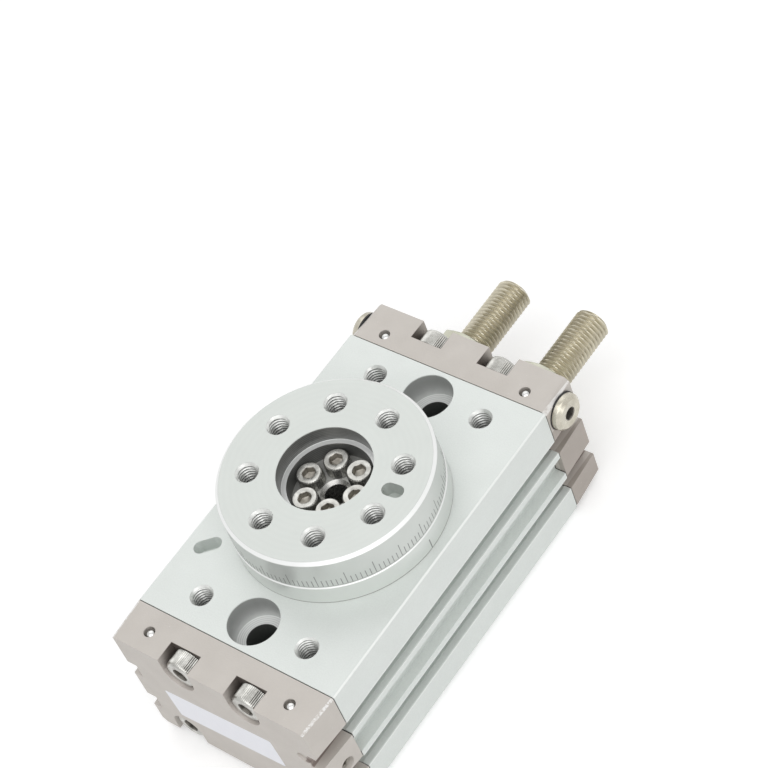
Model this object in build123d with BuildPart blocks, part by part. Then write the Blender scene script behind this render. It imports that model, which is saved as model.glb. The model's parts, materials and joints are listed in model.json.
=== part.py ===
"""Pneumatic rotary table, built as an assembly of separate pieces.

Two pistons with racks run side by side in one block. They push in opposite directions
and turn a hollow pinion shaft, and the round table is screwed to the top of that shaft.
Two threaded bolts at the rear end are the stops that set the angle of turn.

Frame: millimetres, +Z up, +Y towards the end with the adjusting bolts. The origin is on
the axis of the table, in the bottom face of the block.
"""

import math
import os

from build123d import *

os.makedirs("parts", exist_ok=True)

# Sizes: the block
BODY_WIDTH = 50.0
BODY_LENGTH = 73.0
BODY_HEIGHT = 34.0
BODY_FOOT_CHAMFER = 1.7  # long lower edges of the block
BODY_TOP_CHAMFER = 0.3  # long upper edges of the block
AXIS_HEIGHT = 16.5  # height of both piston axes above the base
PISTON_PITCH = 20.4  # distance between the two piston axes
BORE = 12.0  # diameter of each piston bore

# Sizes: the profile along both long sides
SLOT_RISE = 6.3  # switch slots lie this far above and below the piston axes
SLOT_MOUTH = 3.8
SLOT_NECK = 2.9  # from the side face to the centre of the round part of a slot
SLOT_ROUND = 4.6
CHANNEL_HEIGHT = 5.3  # shallow channel between the two slots
CHANNEL_DEPTH = 2.5

# Sizes: covers and gaskets at both ends
COVER_THICK = 9.3
GASKET_THICK = 0.2
GASKET_INSET = 0.15
COVER_LIFT = 1.2  # the covers stay clear of the surface that the block stands on
COVER_DRAFT = 3.5  # degrees of mould draft on the two sides and below
FRONT_COVER_CHAMFER = 0.3  # long upper edges
REAR_COVER_CHAMFER = 1.0
COVER_FOOT_CHAMFER = 1.0
COVER_GROOVE_NEAR = 3.95  # side grooves of a cover, measured from the piston axes
COVER_GROOVE_FAR = 8.2
COVER_GROOVE_DEPTH = 3.0

# Sizes: mounting holes
MOUNT_PITCH = 60.0  # the two through holes, along the block
MOUNT_HOLE = 6.8
MOUNT_COUNTERBORE = 11.0
MOUNT_COUNTERBORE_DEPTH = 6.5
MOUNT_THREAD = 8.0  # thread from below in the same holes
MOUNT_THREAD_DEPTH = 12.0
TOP_THREAD = 5.0  # four threaded holes in the top of the block
TOP_THREAD_DEPTH = 8.0
TOP_THREAD_X = 27.0  # spacing across
TOP_THREAD_Y = 60.0  # spacing along
PIN_SLOT_WIDTH = 3.0  # locating slots in the block and in the table
PIN_SLOT_DEPTH = 3.5
BODY_SLOT_LENGTH = 6.0
TABLE_SLOT_LENGTH = 4.8
BODY_PIN_RADIUS = 28.2  # locating slot of the block, from the table axis
BODY_PIN_ANGLE = 225.0
BASE_PILOT = 20.0  # centring recess in the bottom face
BASE_PILOT_DEPTH = 2.0
BASE_PIN_RADIUS = 19.0  # locating hole in the bottom face

# Sizes: the table and the ring below it
TABLE_THICK = 7.7
TABLE_RIM = 6.5  # from the circle of threads to the edge of the table
TABLE_CHAMFER = 0.7
TABLE_FLOOR = 2.3  # floor of the recess, above the bearing
TABLE_GAP = 0.3  # between the table and the ring
RING_PROUD = 0.15  # the ring is this much wider than the table, at each side
RING_HEIGHT = 5.0
RING_CHAMFER = 0.25
RING_LIP = 1.8  # the ring reaches this far over the bearing
RECESS = 20.0  # centring recess of the table
RECESS_DEPTH = 4.0
RECESS_STEP = 1.0  # narrow step round the lower recess
TABLE_THREAD = 5.0
TABLE_THREAD_DEPTH = 7.0
TABLE_THREAD_INSET = 6.0  # from the wall of the recess to the circle of threads
TABLE_SLOT_INSET = 5.8  # from the wall of the recess to the locating slot
TABLE_TURN = 6.2  # degrees that the table stands past the middle of its travel
TABLE_SCREW_TURN = -7.5  # degrees from the table's locating slot to its first screw
TABLE_SCREW_RADIUS = 6.0
HUB_DIAMETER = 23.6

# Sizes: gear
MODULE = 0.8
TEETH = 15
PRESSURE_ANGLE = 20.0
PINION_ADDENDUM = 0.70
RACK_ADDENDUM = 0.60
TOOTH_CLEARANCE = 0.25  # from a tooth tip to the root of its partner
BACKLASH = 0.12
TOOTH_FACE = 8.0  # height of the pinion teeth
RACK_HALF_LENGTH = 15.5
TRAVEL = 190.0  # degrees, from stop to stop

# Sizes: shaft and bearings
HOLLOW = 5.0  # through hole of the shaft
SPIGOT = 6.4  # end of the shaft that shows in the table's recess
UPPER_BEARING_BORE = 20.0
UPPER_BEARING_OUTER = 32.0
UPPER_BEARING_WIDTH = 7.0
UPPER_BEARING_PROUD = 2.5  # part of it that stands above the top of the block
UPPER_BALL = 3.6
UPPER_BALLS = 10
LOWER_BEARING_BORE = 8.0
LOWER_BEARING_OUTER = 16.0
LOWER_BEARING_WIDTH = 5.0
LOWER_BEARING_BASE = 5.0  # height of its lower face
LOWER_BALL = 2.0
LOWER_BALLS = 7
TRACK_SHARE = 0.28  # from the middle of a ball to the edge of a ring, per ball diameter
CAGE_SHARE = 0.34  # width of the cage per ball diameter
SHOULDER_RISE = 1.8  # shaft shoulder over the bore of each bearing, in diameter
SHOULDER_HEIGHT = 1.5
CLIP_THICK = 0.9
CLIP_GROOVE = 0.4  # depth of the groove that holds the clip below the lower bearing
CLIP_WIDTH = 1.6  # from the bearing's outer edge inwards
CLIP_GAP = 3.0

# Sizes: pistons
PISTON_LENGTH = 46.0
SEAL_WIDTH = 2.2
SEAL_DEPTH = 1.2
SEAL_PLACE = 2.3  # from the end of the piston to the middle of the seal
BAND_WIDTH = 1.6  # wear ring and magnet
BAND_DEPTH = 0.7
BAND_PLACE = 5.6

# Sizes: adjusting bolts
BOLT = 8.0
BOLT_TIP = 71.0  # outer end of a bolt, from the table axis
BOLT_CHAMFER = 0.7
BOLT_SOCKET = 4.0
BOLT_SOCKET_DEPTH = 4.5
PAD_DIAMETER = 5.2
PAD_PROUD = 1.0
PAD_SEAT = 0.8
NUT_FLATS = 13.0
NUT_HEIGHT = 5.4
NUT_CHAMFER = 0.6
WASHER_DIAMETER = 13.4
WASHER_THICK = 1.6

# Sizes: cover screws and side plugs
COVER_SCREW = 4.0
COVER_SCREW_HEAD = 7.0
COVER_SCREW_HEAD_HEIGHT = 4.0
COVER_SCREW_LENGTH = 12.0
COVER_SCREW_SOCKET = 3.0
COVER_NOTCH = 7.6
COVER_NOTCH_DEPTH = 4.6
TOP_SCREW_X = 8.45
TOP_SCREW_Z = 30.2
FOOT_SCREW_X = 16.2
FOOT_SCREW_Z = 4.8
BALL = 3.0  # steel balls that close the drilled passages
BALL_X = 18.0
BALL_BELOW = 0.1  # top of a ball below the top of the cover
FRONT_BALL_PLACE = 4.9  # from the inner face of the front cover
REAR_BALL_PLACE = 2.8
PASSAGE = 2.2
PASSAGE_Z = 25.0  # long passages in the block
CROSS_PASSAGE = 1.8
PORT_THREAD = 5.0
PORT_Z = 29.4
PORT_DEPTH = 4.5
PLUG_PLACE = 4.6  # from the inner face of the rear cover
PLUG_HEAD = 8.0
PLUG_HEAD_HEIGHT = 2.2
PLUG_FLAT = 0.3  # spot face under the head
PLUG_CHAMFER = 0.4
PLUG_SOCKET = 2.5
SET_SCREW = 3.4  # closes the cross drilling of the front cover
SET_SCREW_Z = 14.8
SET_SCREW_SINK = 1.2
SET_SCREW_LENGTH = 3.0
SET_SCREW_PLACE = 3.7
DIMPLE = 3.2  # ejector mark on the front cover
DIMPLE_X = 20.8
DIMPLE_Z = 22.8
DIMPLE_DEPTH = 0.6

# Sizes: screws of the table and of the ring
SMALL_SCREW = 3.0
SMALL_HEAD = 5.5
SMALL_HEAD_HEIGHT = 3.0
SMALL_SOCKET = 2.5
TABLE_SCREW_LENGTH = 8.0
RING_SCREW_LENGTH = 7.0
RING_SCREW_SINK = 0.3
DOWEL_DIAMETER = 1.6  # pin that sets the table's angle on the shaft
DOWEL_DEPTH = 2.4  # in the shaft
DOWEL_RISE = 1.6  # in the table

# Clearances
RUN_FIT = 0.04  # radial, round pieces that turn or slide in each other
SEAT_FIT = 0.02  # radial, pieces that are fixed in a hole
SEAL_FIT = 0.015  # radial, piston seal in its bore
SCREW_ROOM = 0.2  # radial, a screw in a plain hole
GEAR_ROOM = 0.7  # the block around the pinion and its shoulder
STOP_ROOM = 0.05  # between a piston and its stop at the end of travel
HEAD_ROOM = 0.25  # radial, a screw head in its counterbore
PORT_ROOM = 0.5  # end of a port past its plug
DRILL_POINT = 1.0  # depth of a thread hole past its screw

# Worked out from the sizes above
half_width = BODY_WIDTH / 2
half_length = BODY_LENGTH / 2
piston_x = PISTON_PITCH / 2
cover_inner = half_length + GASKET_THICK
cover_outer = cover_inner + COVER_THICK
notch_floor = cover_outer - COVER_NOTCH_DEPTH
ring_top = BODY_HEIGHT + RING_HEIGHT
table_bottom = ring_top + TABLE_GAP
table_top = table_bottom + TABLE_THICK
bearing_top = BODY_HEIGHT + UPPER_BEARING_PROUD
recess_floor = bearing_top + TABLE_FLOOR
thread_circle = RECESS / 2 + TABLE_THREAD_INSET
table_radius = thread_circle + TABLE_RIM
ring_radius = table_radius + RING_PROUD
ring_screw_radius = (ring_radius + UPPER_BEARING_OUTER / 2) / 2
bearing_seat = bearing_top - UPPER_BEARING_WIDTH
lower_seat = LOWER_BEARING_BASE + LOWER_BEARING_WIDTH
pitch_radius = MODULE * TEETH / 2
tip_radius = pitch_radius + PINION_ADDENDUM
root_radius = pitch_radius - RACK_ADDENDUM - TOOTH_CLEARANCE
teeth_low = AXIS_HEIGHT - TOOTH_FACE / 2
teeth_high = AXIS_HEIGHT + TOOTH_FACE / 2
turn = math.radians(TABLE_TURN)
rest_shift = pitch_radius * turn
half_stroke = pitch_radius * math.radians(TRAVEL) / 2
stop_y = PISTON_LENGTH / 2 + half_stroke + STOP_ROOM
bolt_inner = stop_y + PAD_PROUD
washer_outer = cover_outer + WASHER_THICK
nut_outer = washer_outer + NUT_HEIGHT
nut_corner = NUT_FLATS / 2 / math.cos(math.radians(30)) - NUT_CHAMFER / 6
shoulder_low = bearing_seat - SHOULDER_HEIGHT
ring_seat = ring_top - RING_SCREW_SINK - SMALL_HEAD_HEIGHT
gear_cavity = tip_radius + GEAR_ROOM
shoulder = (UPPER_BEARING_BORE + SHOULDER_RISE) / 2
neck = (LOWER_BEARING_BORE + SHOULDER_RISE) / 2
shoulder_cavity = shoulder + GEAR_ROOM
front_ball_y = -(cover_inner + FRONT_BALL_PLACE)
rear_ball_y = cover_inner + REAR_BALL_PLACE
ball_z = BODY_HEIGHT - BALL_BELOW - BALL / 2
ball_seat = ball_z - math.sqrt(BALL**2 - PASSAGE**2) / 2
plug_y = cover_inner + PLUG_PLACE
plug_seat = half_width - PLUG_FLAT
set_screw_y = -(cover_inner + SET_SCREW_PLACE)
table_screw_end = recess_floor - TABLE_SCREW_LENGTH - DRILL_POINT / 2
cover_draft = COVER_THICK * math.tan(math.radians(COVER_DRAFT))
cover_groove_middle = (COVER_GROOVE_FAR + COVER_GROOVE_NEAR) / 2
cover_screw_seats = [
    (-TOP_SCREW_X, TOP_SCREW_Z),
    (TOP_SCREW_X, TOP_SCREW_Z),
    (-FOOT_SCREW_X, FOOT_SCREW_Z),
    (FOOT_SCREW_X, FOOT_SCREW_Z),
]
table_plane = Plane.XY.rotated((0, 0, TABLE_TURN))


def save(shape, label):
    """Names a finished piece and writes its file."""
    shape.label = label
    export_step(shape, f"parts/{label}.step")


def facing(side, distance):
    """Plane across the block at a distance from the table axis, at the rear (side 1) or
    at the front (side -1). It faces outwards. Seen from outside, its x goes to the
    right and its y goes up."""
    return Plane(origin=(0, side * distance, 0), x_dir=(-side, 0, 0), z_dir=(0, side, 0))


# Main block
# One profile carries the lands, the switch slots and the shallow channels, and runs
# along the whole length, as on the extruded bar that such blocks are cut from.
with BuildPart() as main_body:
    with BuildSketch(Plane.XZ) as profile:
        Rectangle(BODY_WIDTH, BODY_HEIGHT, align=(Align.CENTER, Align.MIN))
        chamfer(profile.vertices().group_by(Axis.Y)[0], BODY_FOOT_CHAMFER)
        chamfer(profile.vertices().group_by(Axis.Y)[-1], BODY_TOP_CHAMFER)
        for side in (-1, 1):
            for rise in (-SLOT_RISE, SLOT_RISE):
                with Locations((side * half_width, AXIS_HEIGHT + rise)):
                    Rectangle(2 * SLOT_NECK, SLOT_MOUTH, mode=Mode.SUBTRACT)
                with Locations((side * (half_width - SLOT_NECK), AXIS_HEIGHT + rise)):
                    Circle(SLOT_ROUND / 2, mode=Mode.SUBTRACT)
            with Locations((side * half_width, AXIS_HEIGHT)):
                Rectangle(2 * CHANNEL_DEPTH, CHANNEL_HEIGHT, mode=Mode.SUBTRACT)
    extrude(amount=half_length, both=True)

    # piston bores, right through
    with BuildSketch(Plane.XZ):
        with Locations((-piston_x, AXIS_HEIGHT), (piston_x, AXIS_HEIGHT)):
            Circle(BORE / 2)
    extrude(amount=half_length, both=True, mode=Mode.SUBTRACT)

    # stepped hole for the shaft: upper bearing, shoulder, pinion, lower bearing, pilot
    with BuildSketch(Plane.XZ):
        with BuildLine():
            Polyline(
                (0, 0),
                (BASE_PILOT / 2, 0),
                (BASE_PILOT / 2, BASE_PILOT_DEPTH),
                (LOWER_BEARING_OUTER / 2 + SEAT_FIT, BASE_PILOT_DEPTH),
                (LOWER_BEARING_OUTER / 2 + SEAT_FIT, lower_seat),
                (gear_cavity, lower_seat),
                (gear_cavity, shoulder_low - GEAR_ROOM),
                (shoulder_cavity, shoulder_low - GEAR_ROOM),
                (shoulder_cavity, bearing_seat),
                (UPPER_BEARING_OUTER / 2 + SEAT_FIT, bearing_seat),
                (UPPER_BEARING_OUTER / 2 + SEAT_FIT, BODY_HEIGHT),
                (0, BODY_HEIGHT),
                close=True,
            )
        make_face()
    revolve(axis=Axis.Z, mode=Mode.SUBTRACT)

    # groove of the clip that holds the lower bearing
    with BuildSketch(Plane.XY.offset(LOWER_BEARING_BASE - CLIP_THICK)):
        Circle(LOWER_BEARING_OUTER / 2 + CLIP_GROOVE)
    extrude(amount=CLIP_THICK, mode=Mode.SUBTRACT)

    # two mounting holes: counterbore on top, thread from below
    with Locations((0, -MOUNT_PITCH / 2, BODY_HEIGHT), (0, MOUNT_PITCH / 2, BODY_HEIGHT)):
        CounterBoreHole(MOUNT_HOLE / 2, MOUNT_COUNTERBORE / 2, MOUNT_COUNTERBORE_DEPTH)
    with BuildSketch(Plane.XY):
        with Locations((0, -MOUNT_PITCH / 2), (0, MOUNT_PITCH / 2)):
            Circle(MOUNT_THREAD / 2)
    extrude(amount=MOUNT_THREAD_DEPTH, mode=Mode.SUBTRACT)

    # four threaded holes and the locating slot in the top
    with BuildSketch(Plane.XY.offset(BODY_HEIGHT)):
        with GridLocations(TOP_THREAD_X, TOP_THREAD_Y, 2, 2):
            Circle(TOP_THREAD / 2)
    extrude(amount=-TOP_THREAD_DEPTH, mode=Mode.SUBTRACT)
    with BuildSketch(Plane.XY.offset(BODY_HEIGHT)):
        with PolarLocations(BODY_PIN_RADIUS, 1, start_angle=BODY_PIN_ANGLE):
            SlotOverall(BODY_SLOT_LENGTH, PIN_SLOT_WIDTH)
    extrude(amount=-PIN_SLOT_DEPTH, mode=Mode.SUBTRACT)

    # locating hole in the bottom
    with BuildSketch(Plane.XY):
        with Locations((BASE_PIN_RADIUS, 0)):
            Circle(PIN_SLOT_WIDTH / 2)
    extrude(amount=PIN_SLOT_DEPTH, mode=Mode.SUBTRACT)

    # screws of the ring
    with BuildSketch(Plane.XY.offset(BODY_HEIGHT)):
        with PolarLocations(ring_screw_radius, 4):
            Circle(SMALL_SCREW / 2)
    extrude(amount=ring_seat - RING_SCREW_LENGTH - DRILL_POINT - BODY_HEIGHT, mode=Mode.SUBTRACT)

    # screws of the covers, and the two long air passages
    for side in (-1, 1):
        with BuildSketch(facing(side, half_length)):
            with Locations(*cover_screw_seats):
                Circle(COVER_SCREW / 2)
        screw_end = notch_floor - COVER_SCREW_LENGTH - DRILL_POINT
        extrude(amount=-(half_length - screw_end), mode=Mode.SUBTRACT)
    with BuildSketch(Plane.XZ):
        with Locations((-BALL_X, PASSAGE_Z), (BALL_X, PASSAGE_Z)):
            Circle(PASSAGE / 2)
    extrude(amount=half_length, both=True, mode=Mode.SUBTRACT)
save(main_body.part, "main_body")


# Covers
def cover_blank(side, edge):
    """Outer form of a cover: drafted sides, side grooves, screw notches, screw holes."""
    with BuildPart() as blank:
        for distance, draft in ((cover_inner, 0.0), (cover_outer, cover_draft)):
            with BuildSketch(facing(side, distance)) as outline:
                with Locations((0, COVER_LIFT + draft)):
                    Rectangle(
                        BODY_WIDTH - 2 * draft,
                        BODY_HEIGHT - COVER_LIFT - draft,
                        align=(Align.CENTER, Align.MIN),
                    )
                chamfer(outline.vertices().group_by(Axis.Y)[0], COVER_FOOT_CHAMFER)
                chamfer(outline.vertices().group_by(Axis.Y)[-1], edge)
        loft()

        # grooves that line up with the switch slots of the block
        with BuildSketch(facing(side, cover_inner)):
            for across in (-half_width, half_width):
                for rise in (-cover_groove_middle, cover_groove_middle):
                    with Locations((across, AXIS_HEIGHT + rise)):
                        Rectangle(2 * COVER_GROOVE_DEPTH, COVER_GROOVE_FAR - COVER_GROOVE_NEAR)
        extrude(amount=COVER_THICK, mode=Mode.SUBTRACT)

        # notches for the screw heads, open to the outer face and to the top or bottom
        with BuildSketch(facing(side, notch_floor)):
            with Locations(*cover_screw_seats):
                Circle(COVER_NOTCH / 2)
            with Locations((-TOP_SCREW_X, TOP_SCREW_Z), (TOP_SCREW_X, TOP_SCREW_Z)):
                Rectangle(COVER_NOTCH, BODY_HEIGHT, align=(Align.CENTER, Align.MIN))
            with Locations((-FOOT_SCREW_X, FOOT_SCREW_Z), (FOOT_SCREW_X, FOOT_SCREW_Z)):
                Rectangle(COVER_NOTCH, BODY_HEIGHT, align=(Align.CENTER, Align.MAX))
        extrude(amount=COVER_NOTCH_DEPTH, mode=Mode.SUBTRACT)
        with BuildSketch(facing(side, cover_inner)):
            with Locations(*cover_screw_seats):
                Circle(COVER_SCREW / 2 + SCREW_ROOM)
        extrude(amount=COVER_THICK, mode=Mode.SUBTRACT)
    return blank.part


def cover_passages(side, ball_y):
    """Upright drillings closed by balls, and their ways to the bores and the block."""
    with BuildPart() as passages:
        with BuildSketch(Plane.XY.offset(BODY_HEIGHT)):
            with Locations((-BALL_X, ball_y), (BALL_X, ball_y)):
                Circle(BALL / 2 + SEAT_FIT)
        extrude(amount=ball_seat - BODY_HEIGHT)
        with BuildSketch(Plane.XY.offset(BODY_HEIGHT)):
            with Locations((-BALL_X, ball_y), (BALL_X, ball_y)):
                Circle(PASSAGE / 2)
        extrude(amount=AXIS_HEIGHT - PASSAGE * 1.25 - BODY_HEIGHT)
        with BuildSketch(facing(side, cover_inner)):
            for across in (-BALL_X, BALL_X):
                with Locations((across, PASSAGE_Z), (across, AXIS_HEIGHT)):
                    Circle(CROSS_PASSAGE / 2)
        extrude(amount=abs(ball_y) - cover_inner)
        with BuildSketch(facing(side, cover_inner)):
            for hand in (-1, 1):
                with Locations((hand * (piston_x + BALL_X) / 2, AXIS_HEIGHT)):
                    Rectangle(BALL_X - piston_x, CROSS_PASSAGE)
        extrude(amount=CROSS_PASSAGE / 2)
    return passages.part


with BuildPart() as front_cover:
    add(cover_blank(-1, FRONT_COVER_CHAMFER))
    add(cover_passages(-1, front_ball_y), mode=Mode.SUBTRACT)
    # cross drillings closed by set screws
    for hand in (-1, 1):
        with BuildSketch(Plane.YZ.offset(hand * half_width)):
            with Locations((set_screw_y, SET_SCREW_Z)):
                Circle(SET_SCREW / 2)
        extrude(amount=-hand * (SET_SCREW_SINK + SET_SCREW_LENGTH), mode=Mode.SUBTRACT)
        with BuildSketch(Plane.YZ.offset(hand * half_width)):
            with Locations((set_screw_y, SET_SCREW_Z)):
                Circle(CROSS_PASSAGE / 3)
        extrude(amount=hand * (BALL_X - half_width), mode=Mode.SUBTRACT)
    # ejector mark in the outer face
    with BuildSketch(facing(-1, cover_outer)):
        with Locations((DIMPLE_X, DIMPLE_Z)):
            Circle(DIMPLE / 2)
    extrude(amount=-DIMPLE_DEPTH, mode=Mode.SUBTRACT)
save(front_cover.part, "front_cover")

with BuildPart() as rear_cover:
    add(cover_blank(1, REAR_COVER_CHAMFER))
    add(cover_passages(1, rear_ball_y), mode=Mode.SUBTRACT)
    # threaded holes of the adjusting bolts
    with BuildSketch(facing(1, cover_inner)):
        with Locations((-piston_x, AXIS_HEIGHT), (piston_x, AXIS_HEIGHT)):
            Circle(BOLT / 2 + RUN_FIT)
    extrude(amount=COVER_THICK, mode=Mode.SUBTRACT)
    # air ports in the rear face, drilled on to the upright passages
    with BuildSketch(facing(1, cover_outer)):
        with Locations((-BALL_X, PORT_Z), (BALL_X, PORT_Z)):
            Circle(PORT_THREAD / 2)
    extrude(amount=-PORT_DEPTH, mode=Mode.SUBTRACT)
    with BuildSketch(facing(1, cover_outer)):
        with Locations((-BALL_X, PORT_Z), (BALL_X, PORT_Z)):
            Circle(CROSS_PASSAGE / 2)
    extrude(amount=rear_ball_y - cover_outer, mode=Mode.SUBTRACT)
    # side ports with a flat for the plug head
    for hand in (-1, 1):
        with BuildSketch(Plane.YZ.offset(hand * plug_seat)):
            with Locations((plug_y, PORT_Z)):
                Circle(PLUG_HEAD / 2 + SCREW_ROOM)
        extrude(amount=hand * PLUG_HEAD_HEIGHT, mode=Mode.SUBTRACT)
        with BuildSketch(Plane.YZ.offset(hand * plug_seat)):
            with Locations((plug_y, PORT_Z)):
                Circle(PORT_THREAD / 2)
        extrude(amount=-hand * PORT_DEPTH, mode=Mode.SUBTRACT)
        with BuildSketch(Plane.YZ.offset(hand * plug_seat)):
            with Locations((plug_y, PORT_Z)):
                Circle(CROSS_PASSAGE / 3)
        extrude(amount=hand * (BALL_X - plug_seat), mode=Mode.SUBTRACT)
save(rear_cover.part, "rear_cover")

# Gaskets: thin sheets between a cover and the block, open at bores, screws and passages
for side, edge, label in (
    (-1, FRONT_COVER_CHAMFER, "front_gasket"),
    (1, REAR_COVER_CHAMFER, "rear_gasket"),
):
    with BuildPart() as gasket:
        with BuildSketch(facing(side, half_length)):
            with Locations((0, COVER_LIFT + COVER_FOOT_CHAMFER)):
                Rectangle(
                    BODY_WIDTH - 2 * GASKET_INSET,
                    BODY_HEIGHT - COVER_LIFT - COVER_FOOT_CHAMFER - edge,
                    align=(Align.CENTER, Align.MIN),
                )
            for across in (-half_width, half_width):
                with Locations(
                    (across, AXIS_HEIGHT - SLOT_RISE), (across, AXIS_HEIGHT + SLOT_RISE)
                ):
                    Rectangle(2 * SLOT_NECK + SLOT_ROUND, SLOT_ROUND, mode=Mode.SUBTRACT)
                with Locations((across, AXIS_HEIGHT)):
                    Rectangle(2 * CHANNEL_DEPTH, CHANNEL_HEIGHT, mode=Mode.SUBTRACT)
            with Locations((-piston_x, AXIS_HEIGHT), (piston_x, AXIS_HEIGHT)):
                Circle(BORE / 2, mode=Mode.SUBTRACT)
            with Locations((-BALL_X, PASSAGE_Z), (BALL_X, PASSAGE_Z)):
                Circle(PASSAGE / 2, mode=Mode.SUBTRACT)
            with Locations(*cover_screw_seats):
                Circle(COVER_SCREW / 2 + SCREW_ROOM, mode=Mode.SUBTRACT)
        extrude(amount=GASKET_THICK)
    save(gasket.part, label)


# Socket head cap screws
def cap_screw(plane, thread, length, head, head_height, socket):
    """Screw whose head stands on a plane and whose thread goes below it."""
    with BuildPart() as screw:
        with BuildSketch(plane):
            Circle(head / 2)
        extrude(amount=head_height)
        with BuildSketch(plane):
            Circle(thread / 2 - SEAT_FIT)
        extrude(amount=-length)
        with BuildSketch(plane.offset(head_height)):
            RegularPolygon(socket / 2, 6, major_radius=False)
        extrude(amount=-head_height / 2, mode=Mode.SUBTRACT)
    return screw.part


for side, label in ((-1, "front_cover_screws"), (1, "rear_cover_screws")):
    with BuildPart() as cover_screws:
        for across, up in cover_screw_seats:
            seat = Plane(
                origin=(across, side * notch_floor, up), x_dir=(1, 0, 0), z_dir=(0, side, 0)
            )
            add(
                cap_screw(
                    seat,
                    COVER_SCREW,
                    COVER_SCREW_LENGTH,
                    COVER_SCREW_HEAD,
                    COVER_SCREW_HEAD_HEIGHT,
                    COVER_SCREW_SOCKET,
                )
            )
    save(cover_screws.part, label)

# Balls that close the upright drillings
for ball_y, label in ((front_ball_y, "front_seal_balls"), (rear_ball_y, "rear_seal_balls")):
    with BuildPart() as seal_balls:
        with Locations((-BALL_X, ball_y, ball_z), (BALL_X, ball_y, ball_z)):
            Sphere(BALL / 2)
    save(seal_balls.part, label)

# Plugs of the side ports
for hand, label in ((-1, "left_port_plug"), (1, "right_port_plug")):
    face = Plane(origin=(hand * plug_seat, plug_y, PORT_Z), x_dir=(0, 1, 0), z_dir=(hand, 0, 0))
    with BuildPart() as plug:
        with BuildSketch(face):
            Circle(PLUG_HEAD / 2)
        extrude(amount=PLUG_HEAD_HEIGHT)
        chamfer(plug.faces().sort_by(Axis.X)[-1 if hand > 0 else 0].edges(), PLUG_CHAMFER)
        with BuildSketch(face):
            Circle(PORT_THREAD / 2 - SEAT_FIT)
        extrude(amount=PORT_ROOM - PORT_DEPTH)
        with BuildSketch(face.offset(PLUG_HEAD_HEIGHT)):
            RegularPolygon(PLUG_SOCKET / 2, 6, major_radius=False)
        extrude(amount=-PLUG_HEAD_HEIGHT, mode=Mode.SUBTRACT)
    save(plug.part, label)

# Set screws that close the cross drillings of the front cover
with BuildPart() as front_set_screws:
    for hand in (-1, 1):
        face = Plane(
            origin=(hand * (half_width - SET_SCREW_SINK), set_screw_y, SET_SCREW_Z),
            x_dir=(0, 1, 0),
            z_dir=(hand, 0, 0),
        )
        with BuildSketch(face):
            Circle(SET_SCREW / 2 - SEAT_FIT)
        extrude(amount=-SET_SCREW_LENGTH)
        with BuildSketch(face):
            RegularPolygon(SET_SCREW / 4, 6, major_radius=False)
        extrude(amount=-SET_SCREW_LENGTH / 2, mode=Mode.SUBTRACT)
save(front_set_screws.part, "front_set_screws")

# Ring that holds the upper bearing
with BuildPart() as bearing_retainer:
    with BuildSketch(Plane.XZ):
        with BuildLine():
            Polyline(
                (UPPER_BEARING_OUTER / 2 + SEAT_FIT, BODY_HEIGHT),
                (ring_radius, BODY_HEIGHT),
                (ring_radius, ring_top - RING_CHAMFER),
                (ring_radius - RING_CHAMFER, ring_top),
                (UPPER_BEARING_OUTER / 2 - RING_LIP, ring_top),
                (UPPER_BEARING_OUTER / 2 - RING_LIP, bearing_top),
                (UPPER_BEARING_OUTER / 2 + SEAT_FIT, bearing_top),
                close=True,
            )
        make_face()
    revolve(axis=Axis.Z)
    with BuildSketch(Plane.XY.offset(ring_top)):
        with PolarLocations(ring_screw_radius, 4):
            Circle(SMALL_HEAD / 2 + HEAD_ROOM)
    extrude(amount=-(SMALL_HEAD_HEIGHT + RING_SCREW_SINK), mode=Mode.SUBTRACT)
    with BuildSketch(Plane.XY.offset(ring_top)):
        with PolarLocations(ring_screw_radius, 4):
            Circle(SMALL_SCREW / 2 + SCREW_ROOM)
    extrude(amount=-RING_HEIGHT, mode=Mode.SUBTRACT)
save(bearing_retainer.part, "bearing_retainer")

with BuildPart() as retainer_screws:
    for step in range(4):
        angle = math.radians(90 * step)
        reach = ring_screw_radius
        add(
            cap_screw(
                Plane((reach * math.cos(angle), reach * math.sin(angle), ring_seat)),
                SMALL_SCREW,
                RING_SCREW_LENGTH,
                SMALL_HEAD,
                SMALL_HEAD_HEIGHT,
                SMALL_SOCKET,
            )
        )
save(retainer_screws.part, "retainer_screws")


# Ball bearings
def race(low, width, inner, outer, centre, ball):
    """Ring of a bearing between two radii, with the track of the balls cut into it."""
    with BuildPart() as ring:
        with BuildSketch(Plane.XZ):
            with Locations(((inner + outer) / 2, low + width / 2)):
                Rectangle(outer - inner, width)
            with Locations((centre, low + width / 2)):
                Circle(ball / 2 + RUN_FIT / 2, mode=Mode.SUBTRACT)
        revolve(axis=Axis.Z)
    return ring.part


def caged_balls(low, width, centre, ball, count):
    """Balls of a bearing in the band that keeps them apart."""
    with BuildPart() as balls:
        with BuildSketch(Plane.XY.offset(low + width / 2)):
            Circle(centre + ball * CAGE_SHARE / 2)
            Circle(centre - ball * CAGE_SHARE / 2, mode=Mode.SUBTRACT)
        extrude(amount=ball * 0.3, both=True)
        with PolarLocations(centre, count):
            with Locations((0, 0, low + width / 2)):
                Sphere(ball / 2)
    return balls.part


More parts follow.
